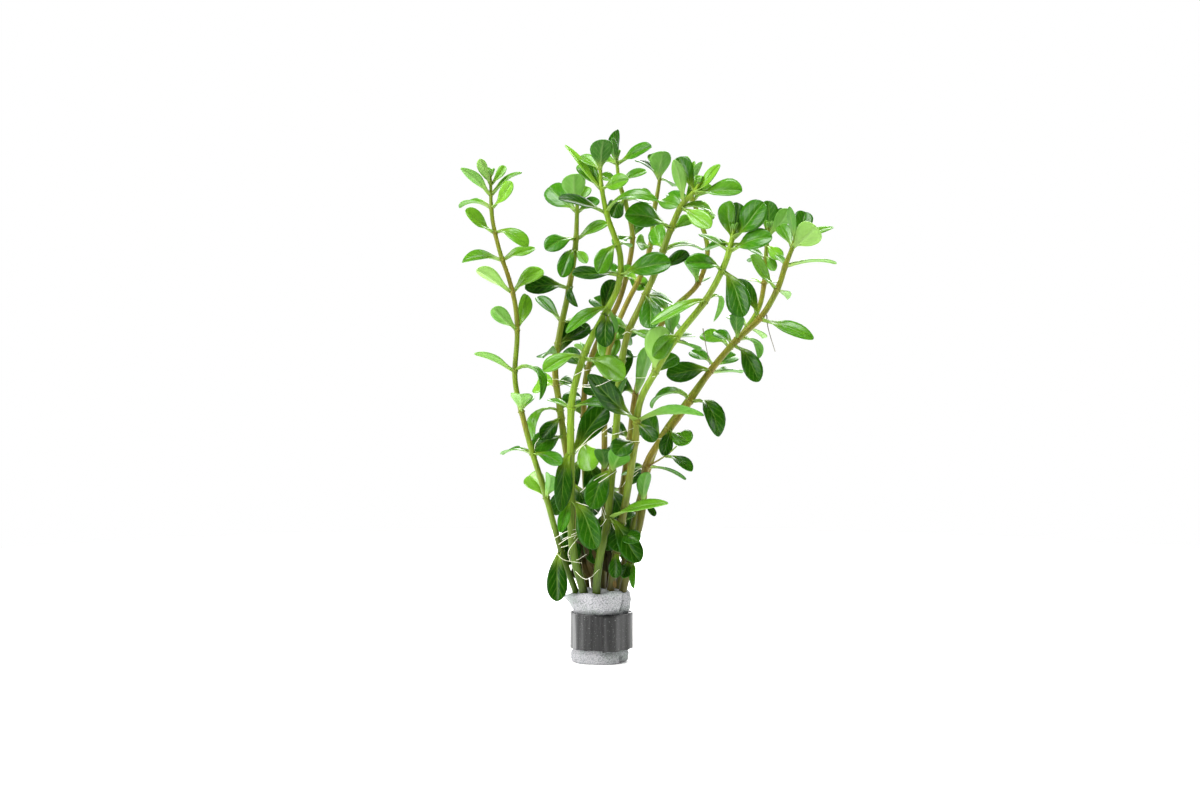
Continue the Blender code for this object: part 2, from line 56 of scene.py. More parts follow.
# Studio: a round white table, and lamps written as place, aim, size and power
TABLE_RADIUS = 0.45
TABLE_SIDES = 96
WALL_LIGHT = 0.12
LAMPS = (
    ("top softbox", (-0.15, -0.15, 1.1), (0, 0, 0.09), 0.6, 24.0),
    ("left window", (-0.75, -0.55, 0.4), (0, 0, 0.09), 0.45, 9.0),
    ("left rear window", (-0.85, 0.28, 0.3), (0, 0, 0.09), 0.3, 5.0),
    ("back window", (0.25, 0.8, 0.5), (0, 0, 0.1), 0.7, 18.0),
    ("right window", (0.85, -0.15, 0.3), (0, 0, 0.09), 0.35, 3.0),
)

# Leaf, modelled once at this size and then laid in each place
LEAF_LENGTH = 15.0
LEAF_WIDTH = 6.0
LEAF_FLESH = 0.5
MIDRIB_DEPTH = 0.22
LEAF_COLUMNS = (0.0, 0.07, 0.38, 0.72, 1.0)
LEAF_OUTLINES = {
    "broad": ((0, 0.18), (0.06, 0.19), (0.14, 0.26), (0.23, 0.41), (0.33, 0.60), (0.43, 0.78),
              (0.54, 0.92), (0.65, 1.0), (0.76, 0.98), (0.86, 0.86), (0.935, 0.64),
              (0.98, 0.37), (1.0, 0.14)),
    "spoon": ((0, 0.22), (0.07, 0.22), (0.16, 0.29), (0.26, 0.44), (0.37, 0.63), (0.48, 0.81),
              (0.59, 0.95), (0.70, 1.0), (0.80, 0.95), (0.885, 0.79), (0.945, 0.57),
              (0.982, 0.33), (1.0, 0.12)),
    "narrow": ((0, 0.30), (0.07, 0.30), (0.16, 0.42), (0.27, 0.62), (0.38, 0.82), (0.49, 0.95),
               (0.60, 1.0), (0.70, 0.96), (0.79, 0.84), (0.87, 0.67), (0.935, 0.46),
               (0.98, 0.26), (1.0, 0.10)),
}
BROAD_SHARE = 0.50
NARROW_SHARE = 0.34
MARGIN_FLESH = 0.3
THINNEST_FLESH = 0.2

# A leaf as it is laid. Its blade starts inside the stem and sets out partly towards its tip,
# partly outwards and partly up the stem. Pairs of numbers are the ends of a range for chance.
BLADE_ROOT = 0.35
BLADE_START = (0.62, 0.42, 0.3)
BLADE_BEND = 0.34
BLADE_LEAN = 0.35
BLADE_TWIST_END = 0.5
BLADE_DROOP = (0.05, 0.3)
BLADE_TROUGH = (0.08, 0.4)
BROAD_TROUGH = 0.4
BLADE_FOLD = 0.75
BLADE_FOLD_END = 0.28
BLADE_WAVE = (0.0, 0.22)
BLADE_WAVES = 7
BLADE_SWAY = 0.045

# Plant tissue: its IOR, and how much its roughness varies either way
PLANT_IOR = 1.45
GLOSS_SPREAD = 0.06

# Stems. A tube's facets are how many its curve is given between two of its quarter points.
STEM_FOOT = 0.8
STEM_STEP = 1.2
STEM_FACETS = 4
ROOT_FACETS = 1
TUBE_EDGE = math.radians(50)
JOINT_SWELL = 0.16
JOINT_REACH = 0.9
COLLAR_RADIUS = 0.3
COLLAR_SIDES = (14, 6)
TIP_SKIRT = 1.4
TIP_TAPER = 0.45
TIP_RINGS = 16
BUD_RADIUS = 0.4
BUD_DEPTH = 0.8

# Foam wrap
FOAM_SIDES = 132
FOAM_RINGS = (14, 44, 16)
FOAM_RING_STEP = 0.6
FOAM_HEIGHT = 24.0
FOAM_RADIUS = 9.7
FOAM_PRESSED_RADIUS = 8.75
FOAM_RIM_RADIUS = 10.6
FOAM_EDGE_ROUND = 0.3
FOAM_FOOT_RISE = 0.5
FOAM_SQUEEZE = 1.2
FOAM_SPRING_BACK = 1.6
FOAM_RIM_RISE = 2
FOAM_TOP_ROUND = 0.5
FOAM_BARE_FADE = 1.5
FOAM_RIM_START = 18
FOAM_SEAM = math.radians(-41)
FOAM_SEAM_STEP = 1.3
FOAM_SEAM_FADE = 0.7
FOAM_LAYER = 3.2
FOAM_PORE = 0.6
FOAM_PORE_DEPTH = 0.25
FOAM_PORE_LEVEL = 0.6
FOAM_LUMP = 3.5
FOAM_LUMP_DEPTH = 0.9
FOAM_LUMP_LEVEL = 0.5
SOCKET_RINGS = 16
SOCKET_GAP = 0.12
SOCKET_OVERRUN = 3

# Shapes worked into the foam: how far in millimetres, and how wide in radians
SEAM_NOTCH = (1.5, 0.075)
LAP_BULGE = (0.8, 0.55)
LAP_ANGLE = -0.1
LAP_FADE = (0.9, 3)
LEFT_HORN = (1.3, 0.5)
LEFT_DIP = (1.9, 0.75)

# Waves in the foam: their height in millimetres, how many go round a turn, and what shifts
# them, which is for each millimetre up in the side and set in the rim
SIDE_WAVES = (0.18, 5, 0.5)
RIM_WAVES = (0.6, 3, 0.8)
RIM_RIPPLES = 7

# The spiral cut that the layers show on top: how deep and wide in millimetres, its turns, how
# far round it starts, and how far inside the rim
SPIRAL_CUT = (1.1, 0.5)
SPIRAL_TURNS = 3
SPIRAL_START = 0.02
SPIRAL_INSET = 0.4

# Lead strip
STRIP_WIDTH = 12.0
STRIP_THICKNESS = 0.8
STRIP_BOTTOM = 4.6
STRIP_END_DROP = 0.4
STRIP_INNER_RADIUS = 9.2
STRIP_OUTER_END = math.radians(-86)
STRIP_LAP = math.radians(95)
STRIP_START_HIDDEN = math.radians(12)
STRIP_SETTLE = math.radians(90)
STRIP_DROP_TURN = math.radians(60)
STRIP_GAP = 0.2
STRIP_GRID = (168, 14)
STRIP_ARRIS = 0.2
STRIP_EDGE = math.radians(35)
STRIP_CORNER = math.radians(50)

# Waves in the lead: their height in millimetres and how many go round a turn
STRIP_DENTS = (0.035, 9)
STRIP_RIPPLES = (0.015, 17)
EDGE_WAVES = (0.08, 13)
EDGE_RIPPLES = (0.06, 29)

# Painted highlight on the lead: bands across its front made brighter where the lamps reflect in
# it, in millimetres across the front, and how bright
PAINTED_HIGHLIGHT_REACH = 10.5
PAINTED_HIGHLIGHT_BANDS = ((-10, 0.12), (-9.2, 0.26), (-8.4, 0.3), (-7.5, 0.12), (-6.7, 0.0), (-5.8, 0.0),
                (-5.0, 0.13), (-4.3, 0.0), (-3.4, 0.06), (-2.6, 0.0), (4.0, 0.02), (5.2, 0.02),
                (6.8, 0.12), (9.5, 0.03))

# A shoot: the stem's radius low and high, the points of its centre line, and its leaves.
# A leaf is written as across, up, length, width, turn, arch. Across and up say where its tip
# is from the stem, seen from the front. Its length is minus when it leans to the front and
# plus when it leans to the back. Turn tips its upper face to the front, in degrees, and
# arch is its rise at the middle as a share of its length.
Shoot = namedtuple("Shoot", "low_radius high_radius route tip pairs")

SHOOTS = {
    1: Shoot(1.15, 0.70, (
        (-6.1, -0.9, 0.8), (-6.3, -0.9, 15), (-7.6, -2, 22), (-12.5, -4, 36), (-18, -5.5, 56),
        (-22, -6, 69), (-25, -6, 80), (-28, -5.5, 94), (-27.3, -5, 108), (-27.8, -5, 118),
        (-30, -5, 127.5), (-33, -5, 136.5), (-35.5, -5, 148), (-36, -5, 162)),
        tip=(
            (150.5, ((-11, 0.5, 13.5, 4.5, 8, 0.1), (7, 8.5, -12, 5, 85, 0))),
            (155, ((-9.5, 8.5, -14, 4, -35, 0), (10, 7.5, 13, 4, 5, 0.05))),
            (158.5, ((-3.5, 8, -9.5, 3.5, -65, 0), (4.5, 6, 8.5, 3, 40, 0)))),
        pairs=(
            (142.5, ((-9.5, 7.5, -12.5, 5.5, 60, 0), (11, -4.5, -12.5, 5.5, 45, 0.08))),
            (133.5, ((-13.5, -0.5, 14.5, 5.5, 42, 0.05), (10.5, 4, 13.5, 4.5, 35, 0))),
            (123, ((-11.5, 7.5, -14.5, 5.5, -40, 0), (9.5, 7.5, 15.5, 6, 35, 0))),
            (97, ((-13, 6, -15.5, 5.5, -15, 0), (8.5, -9, -14.5, 4.5, -10, 0.3))),
            (69.5, ((-10.5, -0.5, 14, 5.5, 12, 0.12), (9.5, -2.5, -14, 5.5, 35, 0))),
            (37, ((-1.5, -15.5, -17.5, 7, 10, 0), (2.5, 4, 13.5, 5.5, 20, 0))))),
    2: Shoot(1.35, 0.95, (
        (-5.3, 3.3, 0.8), (-5.3, 3.3, 15), (-4.5, 4, 22.5), (-6, 5, 35), (-8.5, 6, 53.5),
        (-11.5, 7, 70.5), (-13.5, 8, 84.5), (-15, 9, 96.5), (-13.5, 9, 109), (-11, 10, 120.5),
        (-9, 10, 132), (-8, 11, 141), (-7.5, 11, 156)),
        tip=(
            (140.5, ((-10, -3.5, -14.5, 6.5, 45, 0), (10.5, 5.5, 13.5, 5, 35, 0))),
            (149.5, ((-9.5, 8.5, 15.5, 8, 55, 0), (7, 4.5, 10, 4.5, 40, 0))),
            (152.5, ((-1, 9.5, -12, 8, -10, 0), (3.5, 5.5, 8.5, 4, 30, 0)))),
        pairs=(
            (124, ((-14.5, 0, -16.5, 7.5, 55, 0), (2.8, -6, -9.5, 3, 60, 0.2))),
            (101.5, ((-4.5, 0, -14, 6, -30, 0.05), (6, 11, 14.5, 6.5, 55, 0))),
            (83, ((-8.5, -10.5, -13.7, 5.5, 20, 0.35), (5.5, 4.5, 13.5, 5.5, 30, 0))),
            (74.5, ((-10, -3.5, -14.5, 7.5, 60, 0), (1, 4, 13.5, 6, 40, 0))))),
    3: Shoot(1.50, 0.95, (
        (-4.1, -4.6, 0.8), (-4.1, -4.6, 15), (-5.5, -5.7, 24), (-8.5, -8, 35.5),
        (-9.5, -9, 47.5), (-9.5, -10, 64), (-9.5, -11, 84), (-7.5, -12, 95.5),
        (-3.5, -12, 106.5), (2.5, -13, 117.5), (6, -13, 125.5), (6.5, -14, 135.5),
        (2.5, -14, 147.5), (0.5, -15, 157.5), (0, -15, 166)),
        tip=(
            (149, ((-15.5, 4.5, -16.5, 6.5, 35, 0.05), (16.5, 4, -18, 6, 35, 0.2))),
            (156.5, ((-12, 14.5, 19.5, 3.2, 25, 0), (8.5, 3, -12, 5.5, 75, 0.05),
                     (-7, 8.5, 14, 6, 45, 0))),
            (163, ((1, 9.5, -10.3, 7.5, 0, 0), (-6.5, 4.5, 10, 4.5, 30, 0)))),
        pairs=(
            (138.5, ((-6.5, -9, -13.5, 6.5, 60, 0), (4.5, -0.5, 11.5, 3.5, 25, 0))),
            (128.5, ((-15.5, 0.5, -16.5, 6.5, 38, 0), (16.5, 4, -18.5, 8, 70, 0.05))),
            (117.5, ((-13.5, -7.5, -16.5, 5.5, 30, 0), (2, -8, 10, 4, 30, 0))),
            (101.5, ((-13, -4, -14.5, 6, 40, 0.05), (13.5, -6.5, -16, 8, 60, 0))),
            (85, ((14.5, 1, -15.2, 6, 35, 0.08), (-7.5, 2.5, 11.5, 4, 10, 0))),
            (70, ((11.5, 15, 20, 8.5, 55, 0), (-3.5, -18.5, -19.5, 6.5, 60, 0))),
            (54, ((8.5, -14.5, -18.5, 8.5, 70, 0), (-3.5, -9.5, -12, 4, 20, 0))))),
    4: Shoot(1.20, 0.80, (
        (-1.9, 5.9, 0.8), (-1.9, 5.9, 15), (-2, 8, 23), (-3.5, 11, 39.5), (-5, 14, 60),
        (-5.5, 16, 80), (-4.5, 17, 95), (0, 18, 107.5), (6, 19, 118.5), (9.5, 20, 130.5),
        (11, 21, 141.5), (9, 22, 151.5), (6.5, 22, 160), (5.5, 22, 169)),
        tip=(
            (159.5, ((9, 4.5, 12, 4.5, 30, 0), (-6.5, 3, 10.5, 4.5, 30, 0))),
            (166, ((0, 11.5, 12.5, 5.5, 50, 0), (11.5, 5.5, -14.5, 5.5, 60, 0),
                   (-1.5, 8.5, -10, 3, 0, 0), (-8, 2, 12, 5.5, 40, 0)))),
        pairs=(
            (141, ((2.5, 8, 12, 6, 45, 0), (-6.5, -2.5, -12, 4.5, 30, 0))),)),
    5: Shoot(1.20, 0.80, (
        (2.4, 0.8, 0.8), (2.4, 0.8, 15), (1, 2, 23.5), (1.5, 4, 40), (1.5, 5, 60.5),
        (1.5, 6, 77), (1.5, 7, 92), (3.5, 8, 105.5), (8.5, 9, 118), (14, 10, 129),
        (17, 11, 139), (18, 11, 149), (19.5, 11, 157.5), (20.5, 11, 165)),
        tip=(
            (153, ((7.5, -1.5, -11.5, 6, 45, 0.05), (-6.5, 2.5, 12, 5.5, 35, 0))),
            (160.5, ((-8, 6.5, 11.5, 4.5, 8, 0.1), (5, -2, 10, 4.5, 30, 0),
                     (1, 9.1, -10, 7.3, 0, 0))),
            (162.5, ((-3, 6.5, 9, 4.5, 20, 0),))),
        pairs=(
            (137.5, ((-4.5, 2, -11.5, 5.5, 80, 0), (4.5, 6, 13.5, 6, 35, 0))),)),
    6: Shoot(1.45, 1.00, (
        (-0.2, -6.2, 0.8), (-0.2, -6.2, 15), (-1.2, -7.2, 24.5), (0, -9, 36), (2.5, -9, 48),
        (4, -8, 64), (5.5, -8, 80.5), (6.5, -9, 95.5), (9, -10, 109), (13.5, -11, 119),
        (18.5, -12, 130.5), (22.5, -13, 142), (26.5, -13, 151), (30.5, -14, 155.5),
        (33, -14, 159)),
        tip=(
            (150.5, ((9.5, -6.5, -14, 6.5, 45, 0), (11.5, -2.5, 14.5, 4.5, 45, 0.15))),
            (152.5, ((-3.5, 13.5, -14.5, 4.5, -25, 0), (5.5, 8.5, 11.5, 4.5, 30, 0))),
            (155.5, ((-5, 11.5, 13.5, 6.5, 45, 0), (15.5, 0.5, -16.5, 7.5, 48, 0.03),
                     (8.5, 9, -12.5, 4, 60, 0)))),
        pairs=(
            (143.5, ((-15, 4.5, -17.5, 8.5, 70, 0.04), (7.5, 4, 10.5, 4.5, 40, 0))),
            (136.5, ((-2.5, 8, 12, 7.5, 55, 0), (13.5, 0.5, 15.5, 4.5, 22, 0.12))),
            (122, ((1.5, -10.5, -14, 7.5, 10, 0), (9.5, -3, 14.5, 6.5, 40, 0))),
            (110.5, ((7.5, -2.5, -9.5, 4.5, 30, 0), (-7, 3, 12, 5, 30, 0))),
            (64, ((3.5, 7.5, -14, 7.5, -30, 0), (-7, -11.5, -15.5, 8, 50, 0))),
            (48.5, ((19.5, 6, -23, 5.5, 35, 0.05), (10.5, -13.5, -18.5, 7.5, 55, 0))))),
    7: Shoot(1.20, 0.80, (
        (2.3, 5.8, 0.8), (2.3, 5.8, 15), (2, 7.6, 23), (4.5, 12, 39.5), (7.5, 15, 56),
        (10, 17, 73), (12, 19, 88), (16.5, 21, 103.5), (24, 22, 116), (33, 23, 125),
        (36.5, 24, 136.5), (34, 25, 147), (31, 25, 155.5), (30.5, 25, 162)),
        tip=(
            (153.5, ((-8.5, 2.5, 12, 5, 30, 0), (6.5, 5.5, 12, 4.5, 30, 0))),
            (158.5, ((-2, 10, 11.5, 5.5, 50, 0), (3.5, 8, -10.5, 4, 20, 0),
                     (1.5, 8.5, 9.5, 2.5, 10, 0)))),
        pairs=(
            (125.5, ((-3.5, 9.5, -12, 6, 0, 0), (2.5, 3, 11.5, 5, 20, 0))),)),
    8: Shoot(1.40, 1.00, (
        (3.8, -4.9, 0.8), (3.8, -4.9, 15), (3.5, -5, 24), (6, -7, 40.5), (9, -10, 57.5),
        (11.5, -13, 74), (13, -15, 87), (18, -16, 97), (25, -17, 108.5), (34, -18, 120),
        (39.5, -19, 130), (42, -20, 137), (43.5, -20, 144)),
        tip=(
            (136.5, ((13.5, 4.5, -15.5, 7.5, 65, 0.05), (-9.5, 5.5, 14.5, 4, 6, 0))),
            (138.5, ((11, -3.5, 14, 4.5, 45, 0.05), (-8, -1.5, 13.5, 5.5, 30, 0))),
            (140.5, ((10, 11.5, -15.6, 9.3, 75, 0), (-1.5, 12, 13.5, 6.5, 45, 0),
                     (2.5, 11.5, 14, 6.5, 45, 0)))),
        pairs=(
            (130, ((-12, 2.5, -14, 6, 60, 0.1), (7, -14.5, -17.5, 8.5, 70, 0))),
            (120, ((-17.5, -7, -21, 5.5, 25, 0), (3.5, -6.5, 12, 2.5, 30, 0.45))),
            (108.5, ((-8, -6, -14, 6.5, 75, 0), (5.5, 0.5, 11.5, 4.5, 30, 0))),
            (97, ((2, 15, -15.3, 8.5, -40, 0), (7.5, 5, 12, 5.5, 45, 0))),
            (81, ((-16, 15.5, -26, 7.8, 95, 0), (21.5, 2.5, -23.5, 6.5, -30, 0.08))))),
    9: Shoot(1.15, 0.80, (
        (5.5, 2.9, 0.8), (5.5, 2.9, 15), (5.5, 4, 23), (9.5, 6, 38), (14, 8, 56),
        (20, 11, 73), (28.5, 13, 85), (38.5, 15, 98), (48, 17, 108.5), (53.5, 18, 117),
        (55.5, 19, 126), (56, 20, 134), (56.5, 20, 139.5), (57, 20, 145)),
        tip=(
            (134.5, ((2.5, -4.5, -10, 3.5, 40, 0), (-5.5, -1.5, 12, 4, 20, 0))),
            (138, ((4.5, -4, -12, 4.5, 45, 0), (-5.5, 2.5, 12, 5, 30, 0))),
            (141.5, ((0.5, 12, 13.5, 6.3, 10, 0), (6.5, 9, -13.5, 5.5, -35, 0),
                     (5.5, 9.5, 15, 4.5, 40, 0)))),
        pairs=(
            (111, ((6, -4, 12, 4.5, 20, 0), (-6, 3.5, 12.5, 4.5, 20, 0))),)),
    10: Shoot(1.45, 0.95, (
        (6.1, -1.3, 0.8), (6.1, -1.3, 15), (7.5, -3, 23.5), (11, -4, 37.5), (14, -4, 51),
        (15, -3, 64), (18.5, -2, 71.5), (28, 0, 84), (36.5, 1, 96.5), (45, 2, 106.5),
        (53.5, 3, 114.5), (59, 3, 124), (61.5, 3, 131.5), (64, 3, 138), (65.5, 3, 143)),
        tip=(
            (131.5, ((17.5, 1, 18.5, 5, 4, 0.05), (-2.5, 3.5, 7, 3, 10, 0))),
            (137.5, ((7.5, 7, -12, 9, -60, 0), (-3.5, 7.5, 12.5, 5, 20, 0))),
            (140, ((4, 9.5, 13, 6.5, 25, 0), (13.5, 4.5, 16, 4, 26, 0),
                   (-2.5, 11, -15.5, 3, 10, 0)))),
        pairs=(
            (123.5, ((-9, 11.5, -16, 5.5, 75, 0), (4.5, -3, 12.5, 4, 6, 0))),
            (114, ((17.5, -6.5, -19.5, 6, 45, 0), (-7.5, 13, 16, 5.5, 40, 0))),
            (105.5, ((8.5, -12, -16, 6.5, 60, 0.05), (-5.5, 4, 11.5, 4.5, 30, 0))),
            (96.5, ((-14.5, -1, -16, 7.5, 60, 0), (11.5, -0.5, 15.5, 5.5, 8, 0))),
            (86.5, ((9.5, -11, -16.5, 7, 30, 0.25), (-12.5, -2.5, 16.5, 5, 30, 0.2))),
            (65, ((13.5, -4.5, 16, 4, 4, 0.05), (-7.5, -3, 11.5, 5.5, 30, 0))))),
}

# Smaller leaves of each shoot, written as the pairs are
SMALL_LEAVES = {
    1: ((110.5, ((-7.5, 7.5, -13.5, 5.5, -40, 0), (3, 11.5, 14, 5.5, 60, 0))),
        (83.5, ((0, 6.5, -14.5, 7, 0, 0.05), (1.5, 4.5, 14, 6, 0, 0))),
        (55, ((-6, 6.5, 14.5, 7, 45, 0), (1.5, 8.5, -14, 5.5, -40, 0)))),
    2: ((136.5, ((-4.5, -8.5, -14.5, 5.5, 40, 0.05), (4, -4, -8, 3.5, 40, 0))),
        (113, ((-8.5, 8, 14.5, 5, 20, 0), (9, -3.5, 14.5, 6, 40, 0))),
        (105.5, ((10.5, 6, 14, 5.5, 60, 0),)),
        (91.5, ((-7, 0, 14, 8, 60, 0), (6.5, -0.5, 14, 6, 50, 0))),
        (80.5, ((-6.5, -6, -11.5, 5.5, 50, 0),)),
        (58, ((-5.5, -9, -13.5, 6.5, 15, 0), (6, -9.5, -14, 6.5, 15, 0))),
        (43, ((-3.5, -10.5, -14, 6.5, 15, 0), (5.5, -10, -14, 6.5, 15, 0)))),
    3: ((115.5, ((0.5, -10, -14, 6.5, 10, 0.05), (3, 11.5, 12.5, 6, 50, 0))),
        (103.5, ((-3.5, 2.5, -4.5, 2.5, -30, 0), (-1.5, 3, 5.5, 2, -30, 0)))),
    4: ((153.5, ((-4.5, -5.5, -11.5, 6.5, 50, 0), (8.5, 0, 13.5, 6, 35, 0))),
        (127.5, ((6.5, -3.5, -12.5, 5.5, 45, 0), (-7.5, 3.5, 14, 5.5, 35, 0))),
        (115, ((6, -10.5, 14, 6, 30, 0), (-6.5, 5.5, 14, 6, 30, 0))),
        (96.5, ((9.5, 11.5, 16.5, 8.5, 60, 0), (-7.5, 6.5, 13.5, 6, 40, 0))),
        (80.5, ((7.5, 6.5, 14.5, 6.5, 40, 0), (-6, 7.5, 14.5, 6, 40, 0))),
        (71, ((2.5, -7.5, -14, 8, 30, 0), (-6, -7.5, 14.5, 6.5, 40, 0))),
        (66, ((5.5, -14, -18, 8.5, 20, 0), (-6.5, -11, -15, 7, 15, 0))),
        (48, ((4.5, -11.5, -15, 7.5, 15, 0), (-6, -11, -15, 7.5, 15, 0)))),
    5: ((126, ((8, -4, 13.5, 6, 40, 0), (-6, 4.5, 13.5, 5.5, 30, 0))),
        (97.5, ((2, 12.5, 14, 8, 0, 0), (4.5, 3, 10, 4.5, 30, 0))),
        (106, ((8, 4.5, 14, 6.5, 40, 0), (-5.5, 4.5, 13.5, 6, 40, 0))),
        (87, ((6, 5.5, 12, 6, 50, 0), (-5.5, 4.5, 12, 6, 40, 0))),
        (63.5, ((-1, 7.5, -12, 6, 0, 0), (4.5, 6.5, 13.5, 6, 30, 0))),
        (57, ((-6, -8.5, -14, 7.5, 15, 0), (6.5, -9, -14.5, 7.5, 15, 0))),
        (47, ((1.5, -9.5, -13, 9, 10, 0), (6, -7.5, -14, 7, 20, 0)))),
    6: ((130.5, ((10.5, 5.5, 13.5, 5, 40, 0), (-5.5, 1.5, 11.5, 5.5, 30, 0))),
        (100.5, ((3.5, 2.5, 12.5, 6, 40, 0), (-6, -2.5, 13.5, 6, 40, 0))),
        (92, ((3, 12, 14, 5, 20, 0),)),
        (88, ((2.5, 7, -10, 4.5, 40, 0), (-6, 4.5, 12, 5.5, 40, 0)))),
    7: ((146, ((4, 3.5, 8, 4.5, 50, 0),)),
        (115, ((4, -5, 12, 6, 45, 0), (-6, 6.5, 14, 5.5, 40, 0))),
        (88, ((4.5, 16.5, -18, 7, 0, 0), (-6.5, 4, 13.5, 6, 40, 0))),
        (73, ((6.5, 5, 13.5, 6.5, 45, 0), (-6, 3.5, 13.5, 6, 40, 0))),
        (56, ((6, 6.5, 14, 6.5, 45, 0), (-7.5, -3.5, 13.5, 6.5, 40, 0))),
        (50, ((5, -10, -14.5, 7, 15, 0), (-6.5, -9.5, -14.5, 7, 15, 0))),
        (42, ((5.5, -9.5, -13.5, 7, 15, 0), (-5.5, -9, -13.5, 7, 15, 0)))),
    8: ((107.5, ((-1, 9.5, 11.5, 6.5, 50, 0), (8.5, -3.5, 12, 4.5, 15, 0))),
        (80, ((5.5, -5.5, -10, 6, 20, 0),)),
        (74, ((-6.5, -3.5, -12.5, 7.5, 35, 0),)),
        (47, ((-1, -9, -11, 8, 10, 0), (3.5, 3, 8, 4, 20, 0))),
        (37, ((-0.5, -8, -9, 4.5, 10, 0),)),
        (44, ((6, -2, -13.5, 6, 40, 0), (-5.5, -3.5, 12, 6, 40, 0)))),
    9: ((125.5, ((-5.5, 1.5, 12, 4, 10, 0), (5.5, 1.5, 12, 4, 20, 0))),
        (104, ((-9.5, 4, 14, 5.5, 45, 0),)),
        (98, ((8, 3, 13.5, 5, 45, 0), (-7.5, 4.5, 13.5, 5, 30, 0))),
        (73.5, ((7.5, -2.5, 13.5, 5.5, 30, 0), (-4, 7.5, 14, 5.5, 30, 0)))),
    10: ((107, ((-0.5, 9, -12, 5, 15, 0), (7.5, -6.5, 12, 4.5, 10, 0.25))),
         (77, ((6.5, -3.5, -12.5, 7, 35, 0), (-2, -7.5, -12, 5, 40, 0))),
         (53, ((1, 11, -13.5, 5, 10, 0), (4, -4, -6, 2.5, 40, 0))),
         (33.5, ((1, -7.5, -12, 3, 50, 0), (-2.5, -4.5, -8, 4, 30, 0)))),
}

# How light the leaves of a joint are, from 0 for a deep green to 1 for a bright one, by shoot and
# height. Besides each leaf's own green, the values hold painted highlight on leaves that catch the
# light and painted shade on shaded ones. The leaves of the other joints take theirs by chance.
LEAF_TONES_AND_PAINTED_LIGHT = {
    1: {158.5: (0.95, 0.8), 150.5: (0.6, 0.9), 142.5: (0.8, 0.75), 133.5: (0.65, 0.8),
        123: (0.95, 0.9), 110.5: (0.6, 0.95), 97: (0.7, 0.5), 83.5: (0.7, 0.6), 55: (0.95, 0.5),
        37: (0.05, 0.4)},
    2: {152.5: (0.6, 0.7), 149.5: (0.5, 0.5), 140.5: (0.45, 0.7), 124: (0.1, 0.1),
        105.5: (0.05,), 101.5: (0.5, 0.05), 91.5: (0.95, 0.5), 80.5: (0.1,), 74.5: (0.4, 0.3),
        58: (0.1, 0.05), 43: (0.05, 0.1)},
    3: {163: (0.12, 0.7), 156.5: (1.0, 0.7, 0.6), 149: (0.05, 0.6), 138.5: (0.6, 0.6),
        128.5: (0.1, 0.45), 115.5: (0.05, 0.05), 101.5: (0.7, 0.8), 85: (0.35, 0.6),
        70: (0.1, 0.1), 54: (0.15, 0.5)},
    4: {166: (0.1, 0.5, 0.15, 0.6), 159.5: (0.6, 0.7), 153.5: (0.1, 0.5), 127.5: (0.7, 0.4),
        115: (0.2, 0.2), 96.5: (0.75, 0.1), 80.5: (0.1, 0.3), 71: (0.95, 0.1), 66: (0.05, 0.05),
        48: (0.0, 0.05)},
    5: {162.5: (0.7,), 160.5: (0.1, 0.5, 0.55), 153: (0.6, 0.7), 137.5: (0.7, 0.5),
        106: (0.2, 0.1), 97.5: (0.75, 0.3), 87: (0.1, 0.05), 63.5: (0.1, 0.2),
        57: (0.05, 0.1), 47: (0.05, 0.1)},
    6: {155.5: (0.3, 0.6, 0.85), 143.5: (0.45, 0.7), 136.5: (0.6, 0.7), 130.5: (0.1, 0.4),
        122: (0.45, 0.6), 100.5: (0.2, 0.3), 92: (0.15,), 88: (0.1, 0.1), 64: (0.3, 0.2),
        48.5: (0.75, 0.1)},
    7: {158.5: (0.7, 0.6, 0.8), 125.5: (0.5, 0.6), 115: (0.2, 0.3), 88: (0.55, 0.1),
        73: (0.1, 0.05), 56: (0.1, 0.1), 50: (0.05, 0.05)},
    8: {140.5: (0.35, 0.6, 0.15), 138.5: (0.6, 0.5), 136.5: (0.5, 0.7), 130: (0.5, 0.2),
        120: (0.7, 0.6), 108.5: (0.65, 0.6), 97: (0.85, 0.5), 81: (0.1, 0.5), 80: (0.1,),
        74: (0.2,), 47: (0.05, 0.3), 44: (0.1, 0.05), 37: (0.1,)},
    9: {141.5: (0.25, 0.6, 0.1), 98: (0.5, 0.4), 73.5: (0.3, 0.3)},
    10: {140: (0.3, 0.7, 0.5), 137.5: (1.0, 0.6), 131.5: (0.7, 0.6), 123.5: (0.75, 0.7),
         114: (0.6, 0.1), 107: (0.1, 0.5), 105.5: (0.2, 0.4), 96.5: (0.15, 0.5),
         86.5: (0.15, 0.4), 77: (0.6, 0.1), 65: (0.1, 0.3), 53: (0.3, 0.05), 33.5: (0.4, 0.1)},
}

# Where no tone is given: the range for a tip's leaves and for the others, and what the others
# gain towards the top of their shoot
TIP_TONES = (0.3, 1.0)
PAIR_TONES = (0.0, 0.55)
YOUNG_LEAF_GAIN = 0.35
BUD_TONE = 0.65
TWIG_TONE = 0.2

# How light each stem is, 30 mm and 130 mm up: 0 red-brown, 1 yellow-green. Above that it gets
# lighter still, by the second number of YOUNG_STEM at the height of the first.
STEM_TONES = {1: (0.75, 0.45), 2: (0.5, 0.55), 3: (0.8, 0.9), 4: (0.3, 0.35), 5: (0.4, 0.45),
              6: (0.8, 0.6), 7: (0.3, 0.35), 8: (0.4, 0.85), 9: (0.45, 0.6), 10: (0.35, 0.5)}
STEM_TONE_HEIGHTS = (30, 130)
YOUNG_STEM = (165, 0.35)

# The tiny leaves that close over each bud, written in the same way
BUD_LEAVES = ((1.0, 2.5, -2.9, 1.6, 30, 0), (-1.0, 2.7, 3.1, 1.6, 30, 0),
              (0.4, 2.2, 2.5, 1.3, 20, 0), (-0.4, 2.0, -2.3, 1.2, 10, 0))

